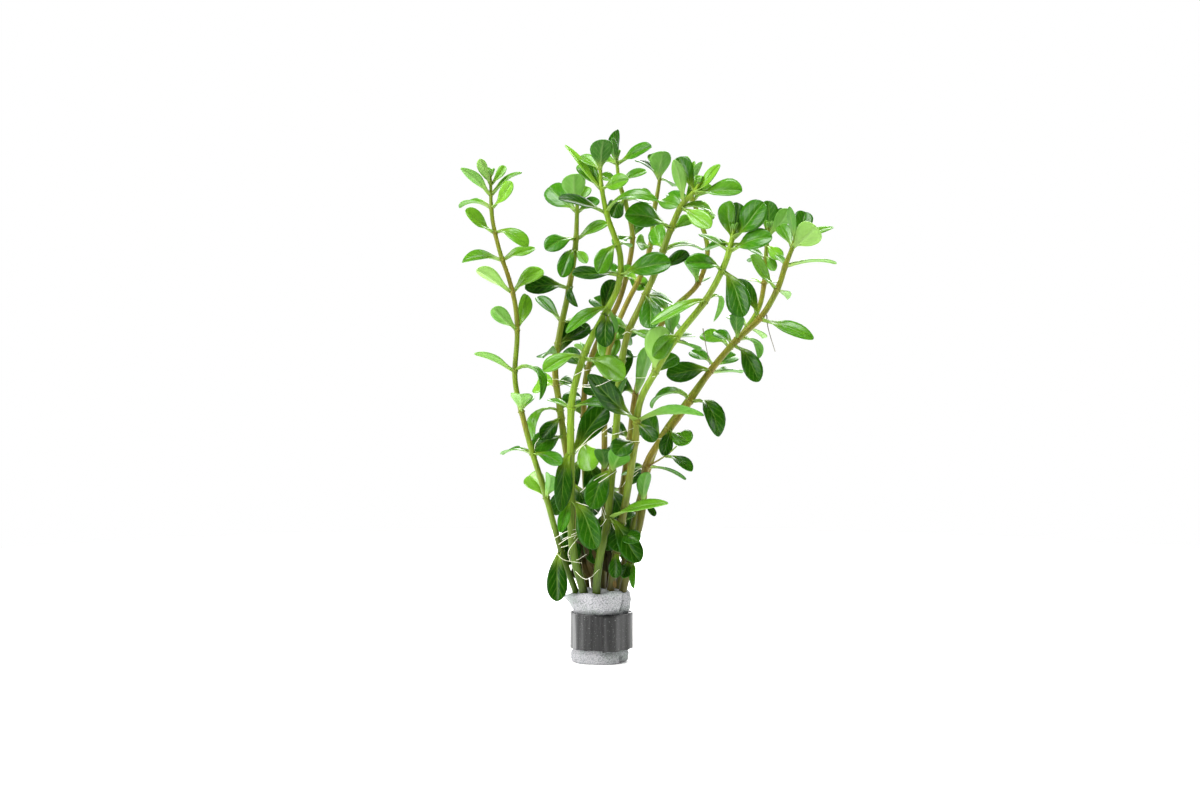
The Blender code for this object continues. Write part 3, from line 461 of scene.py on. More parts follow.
# Withered leaves low down among the stems, written in the same way
DEAD_SEED = 40
DEAD_LEAVES = {
    2: ((42, ((2.5, -7, -9, 4, 20, 0.1), (-3.5, -8.5, -11, 4, -20, 0.1))),
        (34, ((3, -6, -9, 3.5, 40, 0.2), (-2, -6.5, -9, 3.5, 10, 0.1)))),
    3: ((40, ((4.5, -4.5, 8, 3.5, 30, 0.2),)),),
    4: ((44, ((1.5, -11, -14, 6, 10, 0), (-5, -10, -13, 6, 10, 0))),),
    5: ((38, ((1, -8, -10, 4, 10, 0.1), (-4, -6.5, -10, 5, 30, 0.1))),),
    8: ((28.5, ((1, -3.2, -3.6, 1.3, 30, 0),)),),
}

# Roots: routes across, to the back and up
WHITE_ROOTS = (
    ((-15, -5.5, 41.7), (-11, -9, 44), (-7.3, -10.5, 45.3)),
    ((-12.3, -7, 41.3), (-9, -10.5, 43.5), (-6.3, -11, 44.7)),
    ((-14.7, -5.5, 37.3), (-11.7, -9.5, 34.7), (-6, -10.5, 33.7)),
    ((-10, -6, 32.3), (-4.7, -12.5, 29), (0, -10.5, 31.7)),
    ((-10, -8, 34), (-10.3, -10.5, 38), (-5.7, -11, 44)),
    ((-7.7, -10.5, 54), (-2.7, -13, 52.3), (0, -12, 50)),
    ((-2.3, -11.5, 58.3), (0.4, -12.5, 54), (2, -11, 49.7)),
    ((4, -10.5, 47), (5.6, -12, 44), (8, -11, 41.7)),
    ((-6.7, -11, 57.3), (-2, -13, 61), (2, -12, 63.7)),
    ((-3.3, -11, 58.3), (1, -13, 61.6), (5, -10, 64)),
    ((-18.3, 2, 93.7), (-14, 3, 93.8), (-9.7, 0, 93)),
    ((-21.7, -7, 92.3), (-20.8, -8, 94.2), (-19.7, -7.5, 95.3)),
    ((-6, -13, 92.7), (0, -14, 93), (3.3, -13, 94.7), (13.3, -15, 95), (17.7, -17.5, 95.7)),
    ((-8.3, -13, 95.7), (-5.6, -14.5, 97.3), (-3.3, -14, 97.7)),
    ((-7.7, -12, 71), (-5, -14.5, 74.2), (-1.7, -14, 77.3), (2.7, -11, 79.7)),
    ((-20, -7, 74.7), (-21.2, -8, 72.8), (-21.3, -7, 70.7)),
    ((1.7, -11, 76), (5.7, -13, 76.7), (13.3, -15, 79.3)),
    ((10, -12.5, 110.7), (13.3, -14, 112), (17.7, -13, 111)),
    ((7.3, -11.5, 109), (8.6, -13, 109.8), (10, -12.5, 109.7)),
    ((13.3, -14, 74.3), (16, -15, 75.2), (18.7, -13, 75)),
    ((-13.5, -6, 39.6), (-10.3, -9.5, 42.2), (-7, -10.5, 43.6)),
    ((-12.6, -6, 38.8), (-10, -9, 40.2), (-8.2, -10, 42.6)),
    ((-3.3, -12, 60), (-0.5, -13.2, 54.5), (1.8, -11.4, 48.2)),
    ((13.3, -5, 64.7), (9.6, -9.5, 62.4), (7.3, -9, 58.8)),
    ((12.6, -5, 63.6), (8.8, -8.5, 60), (8.4, -8, 56.5)),
    ((-6.3, -20, 92.3), (-1.5, -26.4, 92.9), (4, -24.6, 94.9)),
    ((7, -12.6, 74.3), (12.6, -16.4, 74.6), (20, -14, 75.2)),
    ((-7, -10.8, 70.2), (-5.6, -15, 73), (0.6, -19, 77.4), (4.2, -14, 80.6)),
    ((2.2, -11.4, 48.6), (0.6, -12.8, 47), (-1.4, -12, 45.2)),
    ((-10.6, -4.5, 36.2), (-8, -9, 34.8), (-4.4, -9.6, 37)),
)
BROWN_ROOTS = (
    ((34.3, 1, 110.7), (34.7, -1, 107.3), (36.3, 0, 99)),
    ((55.7, 4, 115), (56, 2, 110.7), (58, 3, 103)),
    ((-17, -6.5, 41), (-16.2, -7.5, 39), (-15, -5.5, 38.4)),
)
WHITE_ROOT_RADIUS = 0.10
BROWN_ROOT_RADIUS = 0.2
ROOT_STEPS = 6
ROOT_KINK = 0.25
ROOT_TAPER = 0.55

# A reddish side twig of the tenth shoot: its route, its radius, and its one leaf with its height
TWIG_ROUTE = ((15.6, -3, 64.4), (17, -4.5, 66), (19.7, -7, 67.8), (22.7, -8.5, 70),
              (25.3, -9, 72.4))
TWIG_RADIUS = 0.36
TWIG_TAPER = 0.4
TWIG_SEED = 3
TWIG_LEAF = (69.2, (8.5, -4.6, -11.2, 4.6, 30, 0.12))


# Working in Blender

def deselect_all():
    if bpy.context.mode != "OBJECT":
        bpy.ops.object.mode_set(mode="OBJECT")
    bpy.ops.object.select_all(action="DESELECT")


def pick(piece):
    """Make one piece the only one selected, and the active one."""
    deselect_all()
    piece.select_set(True)
    bpy.context.view_layer.objects.active = piece


def select_verts(piece, wanted):
    """In edit mode, select only the vertices whose numbers are wanted."""
    bpy.ops.mesh.select_mode(type="VERT")
    bpy.ops.mesh.select_all(action="DESELECT")
    shape = bmesh.from_edit_mesh(piece.data)
    for vert in shape.verts:
        vert.select_set(vert.index in wanted)
    shape.select_flush_mode()
    bmesh.update_edit_mesh(piece.data)


def apply_modifier(piece, kind, **settings):
    pick(piece)
    made = piece.modifiers.new(kind.title(), kind)
    for name, value in settings.items():
        setattr(made, name, value)
    bpy.ops.object.modifier_apply(modifier=made.name)


def join_pieces(name, pieces):
    deselect_all()
    for piece in pieces:
        piece.select_set(True)
    bpy.context.view_layer.objects.active = pieces[0]
    if len(pieces) > 1:
        bpy.ops.object.join()
    pieces[0].name = name
    pieces[0].data.name = name
    return pieces[0]


def face_outwards(piece, merge=False):
    """Turn all faces outwards, once any doubled vertices are merged."""
    pick(piece)
    bpy.ops.object.mode_set(mode="EDIT")
    bpy.ops.mesh.select_all(action="SELECT")
    if merge:
        bpy.ops.mesh.remove_doubles(threshold=MERGE_REACH)
    bpy.ops.mesh.normals_make_consistent(inside=False)
    bpy.ops.object.mode_set(mode="OBJECT")


def read_places(mesh):
    places = np.empty(len(mesh.vertices) * 3)
    mesh.vertices.foreach_get("co", places)
    return places.reshape(-1, 3)


def write_places(mesh, places):
    mesh.vertices.foreach_set("co", np.asarray(places, dtype=float).ravel())
    mesh.update()


def linear(hex_colour):
    """A linear colour from an sRGB hex value."""
    shares = [int(hex_colour[i:i + 2], 16) / 255 for i in (1, 3, 5)]
    return tuple(s / 12.92 if s <= 0.04045 else ((s + 0.055) / 1.055) ** 2.4
                 for s in shares) + (1.0,)


def new_material(name):
    made = bpy.data.materials.new(name)
    made.use_nodes = True
    return made, made.node_tree, made.node_tree.nodes["Principled BSDF"]


def add_node(tree, kind, settings=None, links=None):
    """Add a shader node with its settings, sockets or properties, and link its inputs."""
    node = tree.nodes.new("ShaderNode" + kind)
    for name, value in (settings or {}).items():
        if name == "stops":
            ramp = node.color_ramp
            while len(ramp.elements) < len(value):
                ramp.elements.new(0.5)
            for element, (place, colour) in zip(ramp.elements, value):
                element.position = place
                element.color = colour
        elif isinstance(name, int) or name in node.inputs:
            node.inputs[name].default_value = value
        else:
            setattr(node, name, value)
    for name, source in (links or {}).items():
        tree.links.new(source, node.inputs[name])
    return node


# Places and directions along a stem

def smooth_line(points, steps=8):
    """Points close together on a smooth curve through the given ones."""
    ends = [Vector(p) for p in points]
    ends = [2 * ends[0] - ends[1]] + ends + [2 * ends[-1] - ends[-2]]
    line = []
    for before, start, end, after in zip(ends, ends[1:], ends[2:], ends[3:]):
        for step in range(steps):
            t = step / steps
            line.append(0.5 * (2 * start + t * (end - before)
                               + t * t * (2 * before - 5 * start + 4 * end - after)
                               + t ** 3 * (3 * start - before - 3 * end + after)))
    return line + [ends[-2]]


def point_at(line, height):
    heights = [p.z for p in line]
    across = np.interp(height, heights, [p.x for p in line])
    depth = np.interp(height, heights, [p.y for p in line])
    return Vector((across, depth, height))


def direction_at(line, height):
    return (point_at(line, height + 1) - point_at(line, height - 1)).normalized()


def radius_at(shoot, height):
    highest = shoot.tip[0][0]
    return float(np.interp(height, (0, highest), (shoot.low_radius, shoot.high_radius)))


def tip_offset(leaf):
    """Where a leaf's tip is from the stem: its depth follows from its length."""
    across, up, length = leaf[:3]
    depth = math.sqrt(max(0.0, length * length - across * across - up * up))
    return Vector((across, math.copysign(depth, length), up))


def turned_face(along, turn):
    """The upper-face direction of a blade, tipped to the front by its turn."""
    front = Vector((0, 0, 1)).cross(along).normalized()
    if front.y > 0:
        front = -front
    upper = front.cross(along)
    if upper.z < 0:
        upper = -upper
    angle = math.radians(turn)
    return upper * math.cos(angle) + front * math.sin(angle)


# Leaves

def model_leaf(name, outline, upper_face, lower_face):
    """One flat leaf at its full size, with a midrib groove and flesh that thins to its margin."""
    half = len(LEAF_COLUMNS) - 1
    rows = len(outline) - 1
    deselect_all()
    bpy.ops.mesh.primitive_grid_add(x_subdivisions=2 * half, y_subdivisions=rows, size=2)
    piece = bpy.context.object
    piece.name = name
    flat = read_places(piece.data)
    columns = np.rint((flat[:, 0] + 1) * half).astype(int)
    row_numbers = np.rint((flat[:, 1] + 1) * rows / 2).astype(int)
    bpy.ops.object.mode_set(mode="EDIT")
    for column in range(2 * half + 1):
        share = math.copysign(LEAF_COLUMNS[abs(column - half)], column - half)
        select_verts(piece, set(np.flatnonzero(columns == column).tolist()))
        move = share * LEAF_WIDTH / 2 - (column / half - 1)
        drop = -MIDRIB_DEPTH if column == half else 0
        bpy.ops.transform.translate(value=(move, 0, drop))
    for row, (share, wide) in enumerate(outline):
        place = row / rows * 2 - 1
        select_verts(piece, set(np.flatnonzero(row_numbers == row).tolist()))
        bpy.ops.transform.resize(value=(wide, 1, 1), center_override=(0, place, 0))
        bpy.ops.transform.translate(value=(0, share * LEAF_LENGTH - place, 0))
    bpy.ops.object.mode_set(mode="OBJECT")
    flesh = piece.vertex_groups.new(name="flesh")
    for number, column in enumerate(columns):
        middle = 1 - abs(column - half) / half
        end = min(1.0, (rows - row_numbers[number]) / 2)
        flesh.add([number], MARGIN_FLESH + (1 - MARGIN_FLESH) * middle * end, "REPLACE")
    piece.data.materials.append(upper_face)
    piece.data.materials.append(lower_face)
    apply_modifier(piece, "SOLIDIFY", thickness=LEAF_FLESH, offset=-1, vertex_group="flesh",
                   thickness_vertex_group=THINNEST_FLESH, use_even_offset=False,
                   material_offset=1, material_offset_rim=1)
    piece.vertex_groups.clear()
    pick(piece)
    bpy.ops.object.shade_smooth()
    piece.data.uv_layers[0].name = "blade"
    piece.data.uv_layers.new(name="tone")
    return piece


def rotate_about(vectors, axes, angles):
    """Turn vectors that stand square to their axes."""
    cosine = np.cos(angles)[:, None]
    sine = np.sin(angles)[:, None]
    return vectors * cosine + np.cross(axes, vectors) * sine


def unit_rows(vectors):
    return vectors / np.linalg.norm(vectors, axis=1, keepdims=True)


def ease(values):
    values = np.clip(values, 0, 1)
    return values * values * (3 - 2 * values)


def lay_leaf(masters, line, radius, height, leaf, tone, chance):
    """A copy of a leaf, curved from the stem's side to its own tip."""
    _, _, length, width, turn, arch = leaf
    stout = width / abs(length)
    kind = "broad" if stout > BROAD_SHARE else "narrow" if stout < NARROW_SHARE else "spoon"
    node = point_at(line, height)
    stem_up = direction_at(line, height)
    offset = tip_offset(leaf)
    outward = (offset - stem_up * offset.dot(stem_up)).normalized()
    base = node + outward * radius * BLADE_ROOT
    tip = node + offset
    reach = (tip - base).length
    along = (tip - base).normalized()

    piece = masters[kind].copy()
    piece.data = masters[kind].data.copy()
    bpy.context.scene.collection.objects.link(piece)
    flat = read_places(piece.data)
    share = flat[:, 1] / LEAF_LENGTH
    place = np.clip(share, 0, 1)[:, None]

    # The blade leaves the stem steeply, and bends over to its tip
    onward, aside, upward = BLADE_START
    start = (along * onward + outward * aside + stem_up * upward).normalized() * reach * BLADE_BEND
    droop = chance.uniform(*BLADE_DROOP)
    face = np.array(turned_face(along, turn))
    end = np.array((along * reach * BLADE_BEND)) - face * droop * reach * BLADE_BEND
    first, last = np.array(base), np.array(tip)
    second, third = first + np.array(start), last - end
    left = 1 - place
    spine = (left ** 3 * first + 3 * left ** 2 * place * second
             + 3 * left * place ** 2 * third + place ** 3 * last)
    slope = (3 * left ** 2 * (second - first) + 6 * left * place * (third - second)
             + 3 * place ** 2 * (last - third))
    tangent = unit_rows(slope)

    # At the stem the upper face looks up along it, further out it takes the leaf's own turn
    at_stem = np.array(stem_up - outward * BLADE_LEAN * max(0.0, stem_up.dot(along)))
    at_stem = at_stem - np.array(along) * at_stem.dot(np.array(along))
    at_stem /= np.linalg.norm(at_stem)
    twist = math.atan2(np.dot(np.array(along), np.cross(at_stem, face)), np.dot(at_stem, face))
    if twist > math.pi / 2:
        twist -= math.pi
    if twist < -math.pi / 2:
        twist += math.pi
    upright = at_stem[None, :] - tangent * (tangent @ at_stem)[:, None]
    upper = rotate_about(unit_rows(upright), tangent, twist * ease(share / BLADE_TWIST_END))
    side = np.cross(tangent, upper)

    # Folded round the stem at the base, a shallow trough further out, with a lazy margin
    across = flat[:, 0] * width / LEAF_WIDTH
    trough = chance.uniform(*BLADE_TROUGH) * (BROAD_TROUGH if kind == "broad" else 1)
    fold = trough + (BLADE_FOLD - trough) * (1 - ease(share / BLADE_FOLD_END))
    wave = chance.uniform(*BLADE_WAVE)
    lilt = chance.uniform(0, math.tau)
    sway = chance.uniform(-BLADE_SWAY, BLADE_SWAY) * reach
    lift = (flat[:, 2] + fold * np.abs(across)
            + wave * np.sin(share * BLADE_WAVES + lilt + np.sign(across)) * np.abs(across) / 2
            + arch * reach * 4 * share * (1 - share))
    drift = across + sway * np.sin(math.pi * np.clip(share, 0, 1))
    write_places(piece.data, (spine + side * drift[:, None] + upper * lift[:, None]) * MM)

    tones = piece.data.uv_layers["tone"].data
    tones.foreach_set("uv", [tone, chance.random()] * len(tones))
    return piece


def give_tone(piece, number):
    """Say how light a stem or a ring is, in a layer that its material reads."""
    layer = piece.data.uv_layers.get("tone") or piece.data.uv_layers.new(name="tone")
    corners = np.empty(len(piece.data.loops), dtype=int)
    piece.data.loops.foreach_get("vertex_index", corners)
    heights = read_places(piece.data)[corners, 2] / MM
    low, high = STEM_TONES[number]
    top, greener = YOUNG_STEM
    tones = np.interp(heights, (*STEM_TONE_HEIGHTS, top), (low, high, high + greener))
    layer.data.foreach_set("uv", np.column_stack((tones, tones)).ravel())


def lay_collar(line, radius, height, finish, number):
    """The swollen ring where a pair of leaves grows from its stem."""
    up = direction_at(line, height)
    around, across = COLLAR_SIDES
    bpy.ops.mesh.primitive_torus_add(
        major_segments=around, minor_segments=across, major_radius=radius * MM,
        minor_radius=COLLAR_RADIUS * MM, location=point_at(line, height) * MM,
        rotation=up.to_track_quat("Z", "Y").to_euler())
    piece = bpy.context.object
    piece.data.materials.append(finish)
    bpy.ops.object.shade_smooth()
    bpy.ops.object.transform_apply(location=True, rotation=True, scale=True)
    give_tone(piece, number)
    return piece


# Stems and roots

def tube(name, places, radii, facets, finish):
    """A round thread or stem along its places, closed at both ends."""
    curve = bpy.data.curves.new(name, "CURVE")
    curve.dimensions = "3D"
    curve.bevel_depth = MM
    curve.bevel_resolution = facets
    curve.use_fill_caps = True
    spline = curve.splines.new("POLY")
    spline.points.add(len(places) - 1)
    for point, place, radius in zip(spline.points, places, radii):
        point.co = (Vector(place) * MM).to_4d()
        point.radius = radius
    spline.use_smooth = True
    piece = bpy.data.objects.new(name, curve)
    bpy.context.scene.collection.objects.link(piece)
    curve.materials.append(finish)
    pick(piece)
    bpy.ops.object.convert(target="MESH")
    face_outwards(piece, merge=True)
    bpy.ops.object.shade_smooth_by_angle(angle=TUBE_EDGE)
    return piece


def joint_heights(number, shoot):
    pairs = shoot.pairs + SMALL_LEAVES[number] + shoot.tip
    return [height for height, _ in pairs]


def stem_radius(shoot, joints, height):
    swell = sum(math.exp(-((height - joint) / JOINT_REACH) ** 2) for joint in joints)
    return radius_at(shoot, height) * (1 + JOINT_SWELL * min(1.0, swell))


def build_stem(number, shoot, line, finish):
    joints = joint_heights(number, shoot)
    top = shoot.tip[0][0] - TIP_SKIRT
    heights = np.linspace(STEM_FOOT, top, int((top - STEM_FOOT) / STEM_STEP))
    radii = [stem_radius(shoot, joints, height) for height in heights]
    places = [point_at(line, height) for height in heights]
    piece = tube(f"olive_stem_{number}", places, radii, STEM_FACETS, finish)
    give_tone(piece, number)
    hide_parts(f"stem_{number}")
    return piece


def leaf_tone(number, height, order, usual):
    # The listed tones hold painted highlight and painted shade as well as each leaf's own green
    tones = LEAF_TONES_AND_PAINTED_LIGHT[number].get(height, ())
    return tones[order] if order < len(tones) else usual


def build_tip(number, shoot, line, masters, finishes, chance):
    """The last of the stem with its crowded young leaves and the bud."""
    low = shoot.tip[0][0] - TIP_SKIRT
    high = line[-1].z
    heights = np.linspace(low, high, TIP_RINGS)
    joints = joint_heights(number, shoot)
    radii = [stem_radius(shoot, joints, height) * (1 - TIP_TAPER * (height - low) / (high - low))
             for height in heights]
    places = [point_at(line, height) for height in heights]
    parts = [tube("tip", places, radii, STEM_FACETS, finishes["stem"])]
    give_tone(parts[0], number)
    for height, leaves in shoot.tip:
        for order, leaf in enumerate(leaves):
            tone = leaf_tone(number, height, order, chance.uniform(*TIP_TONES))
            parts.append(lay_leaf(masters, line, shoot.high_radius, height, leaf, tone, chance))
    for leaf in BUD_LEAVES:
        parts.append(lay_leaf(masters, line, BUD_RADIUS, high - BUD_DEPTH, leaf, BUD_TONE,
                              chance))
    piece = join_pieces(f"growing_tip_{number}", parts)
    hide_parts(f"shoot_tip_{number}")
    return piece


def lay_joint(number, shoot, height, leaves, line, masters, finishes, chance):
    """The leaves of one joint and the collar that they grow from."""
    radius = radius_at(shoot, height)
    gain = YOUNG_LEAF_GAIN * (height / shoot.tip[-1][0])
    parts = []
    for order, leaf in enumerate(leaves):
        tone = leaf_tone(number, height, order, chance.uniform(*PAIR_TONES) + gain)
        parts.append(lay_leaf(masters, line, radius, height, leaf, tone, chance))
    parts.append(lay_collar(line, radius * (1 + JOINT_SWELL / 2), height, finishes["stem"],
                            number))
    return parts


def build_dead_leaves(masters):
    """Brown, crumpled leaves that have dropped against the stems."""
    chance = random.Random(DEAD_SEED)
    parts = []
    for number, joints in DEAD_LEAVES.items():
        line = smooth_line(SHOOTS[number].route)
        for height, leaves in joints:
            radius = radius_at(SHOOTS[number], height)
            for leaf in leaves:
                tone = chance.random()
                parts.append(lay_leaf(masters, line, radius, height, leaf, tone, chance))
    piece = join_pieces("withered_leaves", parts)
    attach(piece, "root")


def build_twig(masters, finishes):
    """The side twig: its tone stays 0, so it is red-brown."""
    line = smooth_line(TWIG_ROUTE)
    radii = [TWIG_RADIUS * (1 - TWIG_TAPER * i / len(line)) for i in range(len(line))]
    twig = tube("twig", line, radii, STEM_FACETS, finishes["stem"])
    twig.data.uv_layers.new(name="tone")
    height, leaf = TWIG_LEAF
    blade = lay_leaf(masters, line, TWIG_RADIUS, height, leaf, TWIG_TONE,
                     random.Random(TWIG_SEED))
    piece = join_pieces("side_twig", [twig, blade])
    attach(piece, "root")


def build_shoot(number, shoot, masters, finishes):
    line = smooth_line(shoot.route)
    chance = random.Random(number)
    pieces = [(build_stem(number, shoot, line, finishes["stem"]), "stem"),
              (build_tip(number, shoot, line, masters, finishes, chance), "young_leaf")]
    for order, (height, leaves) in enumerate(shoot.pairs, start=1):
        parts = lay_joint(number, shoot, height, leaves, line, masters, finishes, chance)
        piece = join_pieces(f"joint_leaves_{number}_{order}", parts)
        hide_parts(f"leaf_pair_{number}_{order}")
        pieces.append((piece, "leaf"))
    parts = []
    for height, leaves in SMALL_LEAVES[number]:
        parts += lay_joint(number, shoot, height, leaves, line, masters, finishes, chance)
    pieces.append((join_pieces(f"small_leaves_{number}", parts), "leaf"))
    for piece, slot in pieces:
        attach(piece, "root")


def build_roots(name, routes, radius, finish):
    """Thin threads, a little kinked, that taper to their ends."""
    chance = random.Random(len(routes))
    threads = []
    for route in routes:
        kinked = [Vector(p) + Vector((chance.uniform(-1, 1), 0, chance.uniform(-1, 1))) * ROOT_KINK
                  for p in route]
        places = smooth_line(kinked, steps=ROOT_STEPS)
        count = len(places)
        radii = [radius * (1 - ROOT_TAPER * i / count) for i in range(count)]
        threads.append(tube("thread", places, radii, ROOT_FACETS, finish))
    piece = join_pieces(name, threads)
    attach(piece, "root")
    return piece


# Foam wrap

def foam_profile():
    """Radius and height of the foam's rings, from the middle of its foot to that of its top."""
    low = STRIP_BOTTOM - STRIP_END_DROP
    top = STRIP_BOTTOM + STRIP_WIDTH
    outline = (
        (0, FOAM_RADIUS - FOAM_EDGE_ROUND),
        (FOAM_FOOT_RISE, FOAM_RADIUS),
        (low - FOAM_SQUEEZE, FOAM_RADIUS),
        (low - STRIP_GAP / 2, FOAM_PRESSED_RADIUS),
        (top + STRIP_GAP, FOAM_PRESSED_RADIUS),
        (top + FOAM_SPRING_BACK, FOAM_RADIUS),
        (FOAM_HEIGHT - FOAM_RIM_RISE, FOAM_RIM_RADIUS - FOAM_EDGE_ROUND),
        (FOAM_HEIGHT, FOAM_RIM_RADIUS),
    )
    heights, radii = zip(*outline)
    foot, side, head = FOAM_RINGS
    step = FOAM_RING_STEP
    rings = [(r, 0.0) for r in np.linspace(step, FOAM_RADIUS - step, foot)]
    rings += [(float(np.interp(z, heights, radii)), float(z))
              for z in np.linspace(0, FOAM_HEIGHT - FOAM_TOP_ROUND, side)]
    rings += [(r, FOAM_HEIGHT) for r in np.linspace(FOAM_RIM_RADIUS - step, step, head)]
    return rings


def swell(angles, width):
    """A smooth hump round the foam: 1 at no angle, and gone a few widths away."""
    return np.exp(-(angles / width) ** 2)


def foam_shape(places):
    """The wound strip: a step and a notch at its seam, an uneven rim, a spiral cut on top."""
    x, y, z = places.T / MM
    radius = np.hypot(x, y)
    angle = np.arctan2(y, x)
    past_seam = np.mod(angle - FOAM_SEAM, math.tau)
    from_seam = np.minimum(past_seam, math.tau - past_seam)
    from_left = np.mod(angle, math.tau) - math.pi

    # How much a place is clear of the lead, how far out it is, and how near the rim
    above_lead = z - STRIP_BOTTOM - STRIP_WIDTH
    bare = ease(above_lead / FOAM_BARE_FADE) + ease((STRIP_BOTTOM - 1 - z) / FOAM_BARE_FADE)
    outer = ease(radius / FOAM_RADIUS * 3 - 2)
    rim = ease((z - FOAM_RIM_START) / (FOAM_HEIGHT - FOAM_RIM_START))

    step = FOAM_SEAM_STEP * np.exp(-past_seam / FOAM_SEAM_FADE) * bare * outer
    depth, width = SEAM_NOTCH
    wide = radius - step - depth * swell(from_seam, width) * bare * outer
    wave, waves, shift = SIDE_WAVES
    wide += wave * np.sin(angle * waves + z * shift) * outer * bare
    bulge, width = LAP_BULGE
    low_fade, high_fade = LAP_FADE
    over_lap = ease(above_lead / low_fade) * ease((FOAM_HEIGHT - z) / high_fade)
    wide += bulge * over_lap * swell(angle - LAP_ANGLE, width) * outer
    reach, width = LEFT_HORN
    horn = rim * swell(angle - math.pi, width)
    horn += rim * swell(angle + math.pi, width)
    wide += reach * horn * outer

    dip, width = LEFT_DIP
    height = z - dip * rim * swell(from_left, width) * outer
    wave, waves, shift = RIM_WAVES
    height -= wave * rim * (np.sin(angle * waves + shift) + np.sin(angle * RIM_RIPPLES)) / 2
    depth, width = SPIRAL_CUT
    spiral = FOAM_RIM_RADIUS - FOAM_LAYER * np.mod(past_seam / math.tau + SPIRAL_START, 1)
    inside = radius < FOAM_RIM_RADIUS - SPIRAL_INSET
    for turn in range(SPIRAL_TURNS):
        gap = np.abs(radius - (spiral - turn * FOAM_LAYER))
        height -= depth * rim * swell(gap, width) * inside
    scale = wide / np.maximum(radius, 0.01)
    return np.column_stack((x * scale, y * scale, height)) * MM


def foam_sockets(finish):
    """The channels that the stems have pressed into the foam, as one cutter."""
    heights = np.linspace(STEM_FOOT, FOAM_HEIGHT + SOCKET_OVERRUN, SOCKET_RINGS)
    sockets = []
    for shoot in SHOOTS.values():
        line = smooth_line(shoot.route)
        places = [point_at(line, STEM_FOOT) - Vector((0, 0, SOCKET_OVERRUN))]
        places += [point_at(line, height) for height in heights]
        radii = [radius_at(shoot, place.z) + SOCKET_GAP for place in places]
        sockets.append(tube("socket", places, radii, STEM_FACETS, finish))
    return join_pieces("foam_sockets", sockets)


def build_foam(finish):
    rings = foam_profile()
    deselect_all()
    bpy.ops.mesh.primitive_circle_add(vertices=FOAM_SIDES, radius=rings[0][0] * MM)
    piece = bpy.context.object
    piece.name = "wound_foam"
    bpy.ops.object.mode_set(mode="EDIT")
    bpy.ops.mesh.select_all(action="SELECT")
    bpy.ops.mesh.edge_face_add()
    bpy.ops.mesh.poke()
    bpy.ops.mesh.select_all(action="DESELECT")
    bpy.ops.mesh.select_non_manifold()
    for (radius, height), (wider, higher) in zip(rings, rings[1:]):
        bpy.ops.mesh.extrude_region_move(
            TRANSFORM_OT_translate={"value": (0, 0, (higher - height) * MM)})
        bpy.ops.transform.resize(value=(wider / radius, wider / radius, 1),
                                 center_override=(0, 0, higher * MM))
    bpy.ops.mesh.edge_face_add()
    bpy.ops.mesh.poke()
    face_outwards(piece)
    write_places(piece.data, foam_shape(read_places(piece.data)))
    piece.data.materials.append(finish)
    pores = bpy.data.textures.new("foam pores", "VORONOI")
    pores.noise_scale = FOAM_PORE * MM
    pores.distance_metric = "DISTANCE"
    apply_modifier(piece, "DISPLACE", texture=pores, texture_coords="LOCAL",
                   strength=FOAM_PORE_DEPTH * MM, mid_level=FOAM_PORE_LEVEL)
    lumps = bpy.data.textures.new("foam lumps", "CLOUDS")
    lumps.noise_scale = FOAM_LUMP * MM
    apply_modifier(piece, "DISPLACE", texture=lumps, texture_coords="LOCAL",
                   strength=FOAM_LUMP_DEPTH * MM, mid_level=FOAM_LUMP_LEVEL)
    cutter = foam_sockets(finish)
    apply_modifier(piece, "BOOLEAN", operation="DIFFERENCE", object=cutter, use_self=True)
    bpy.data.objects.remove(cutter)
    # The foot is cut flat
    places = read_places(piece.data)
    places[:, 2] = np.maximum(places[:, 2], 0)
    write_places(piece.data, places)
    pick(piece)
    bpy.ops.object.shade_smooth()
    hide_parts("foam_wrap")
    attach(piece, "root")
    return piece


# Lead strip

def strip_radius(turned):
    """The strip's inner radius, by the angle turned from its outer end."""
    lap = STRIP_INNER_RADIUS + STRIP_THICKNESS + STRIP_GAP
    settled = STRIP_LAP + STRIP_SETTLE
    return np.interp(turned, (0, STRIP_LAP, settled), (lap, lap, STRIP_INNER_RADIUS))


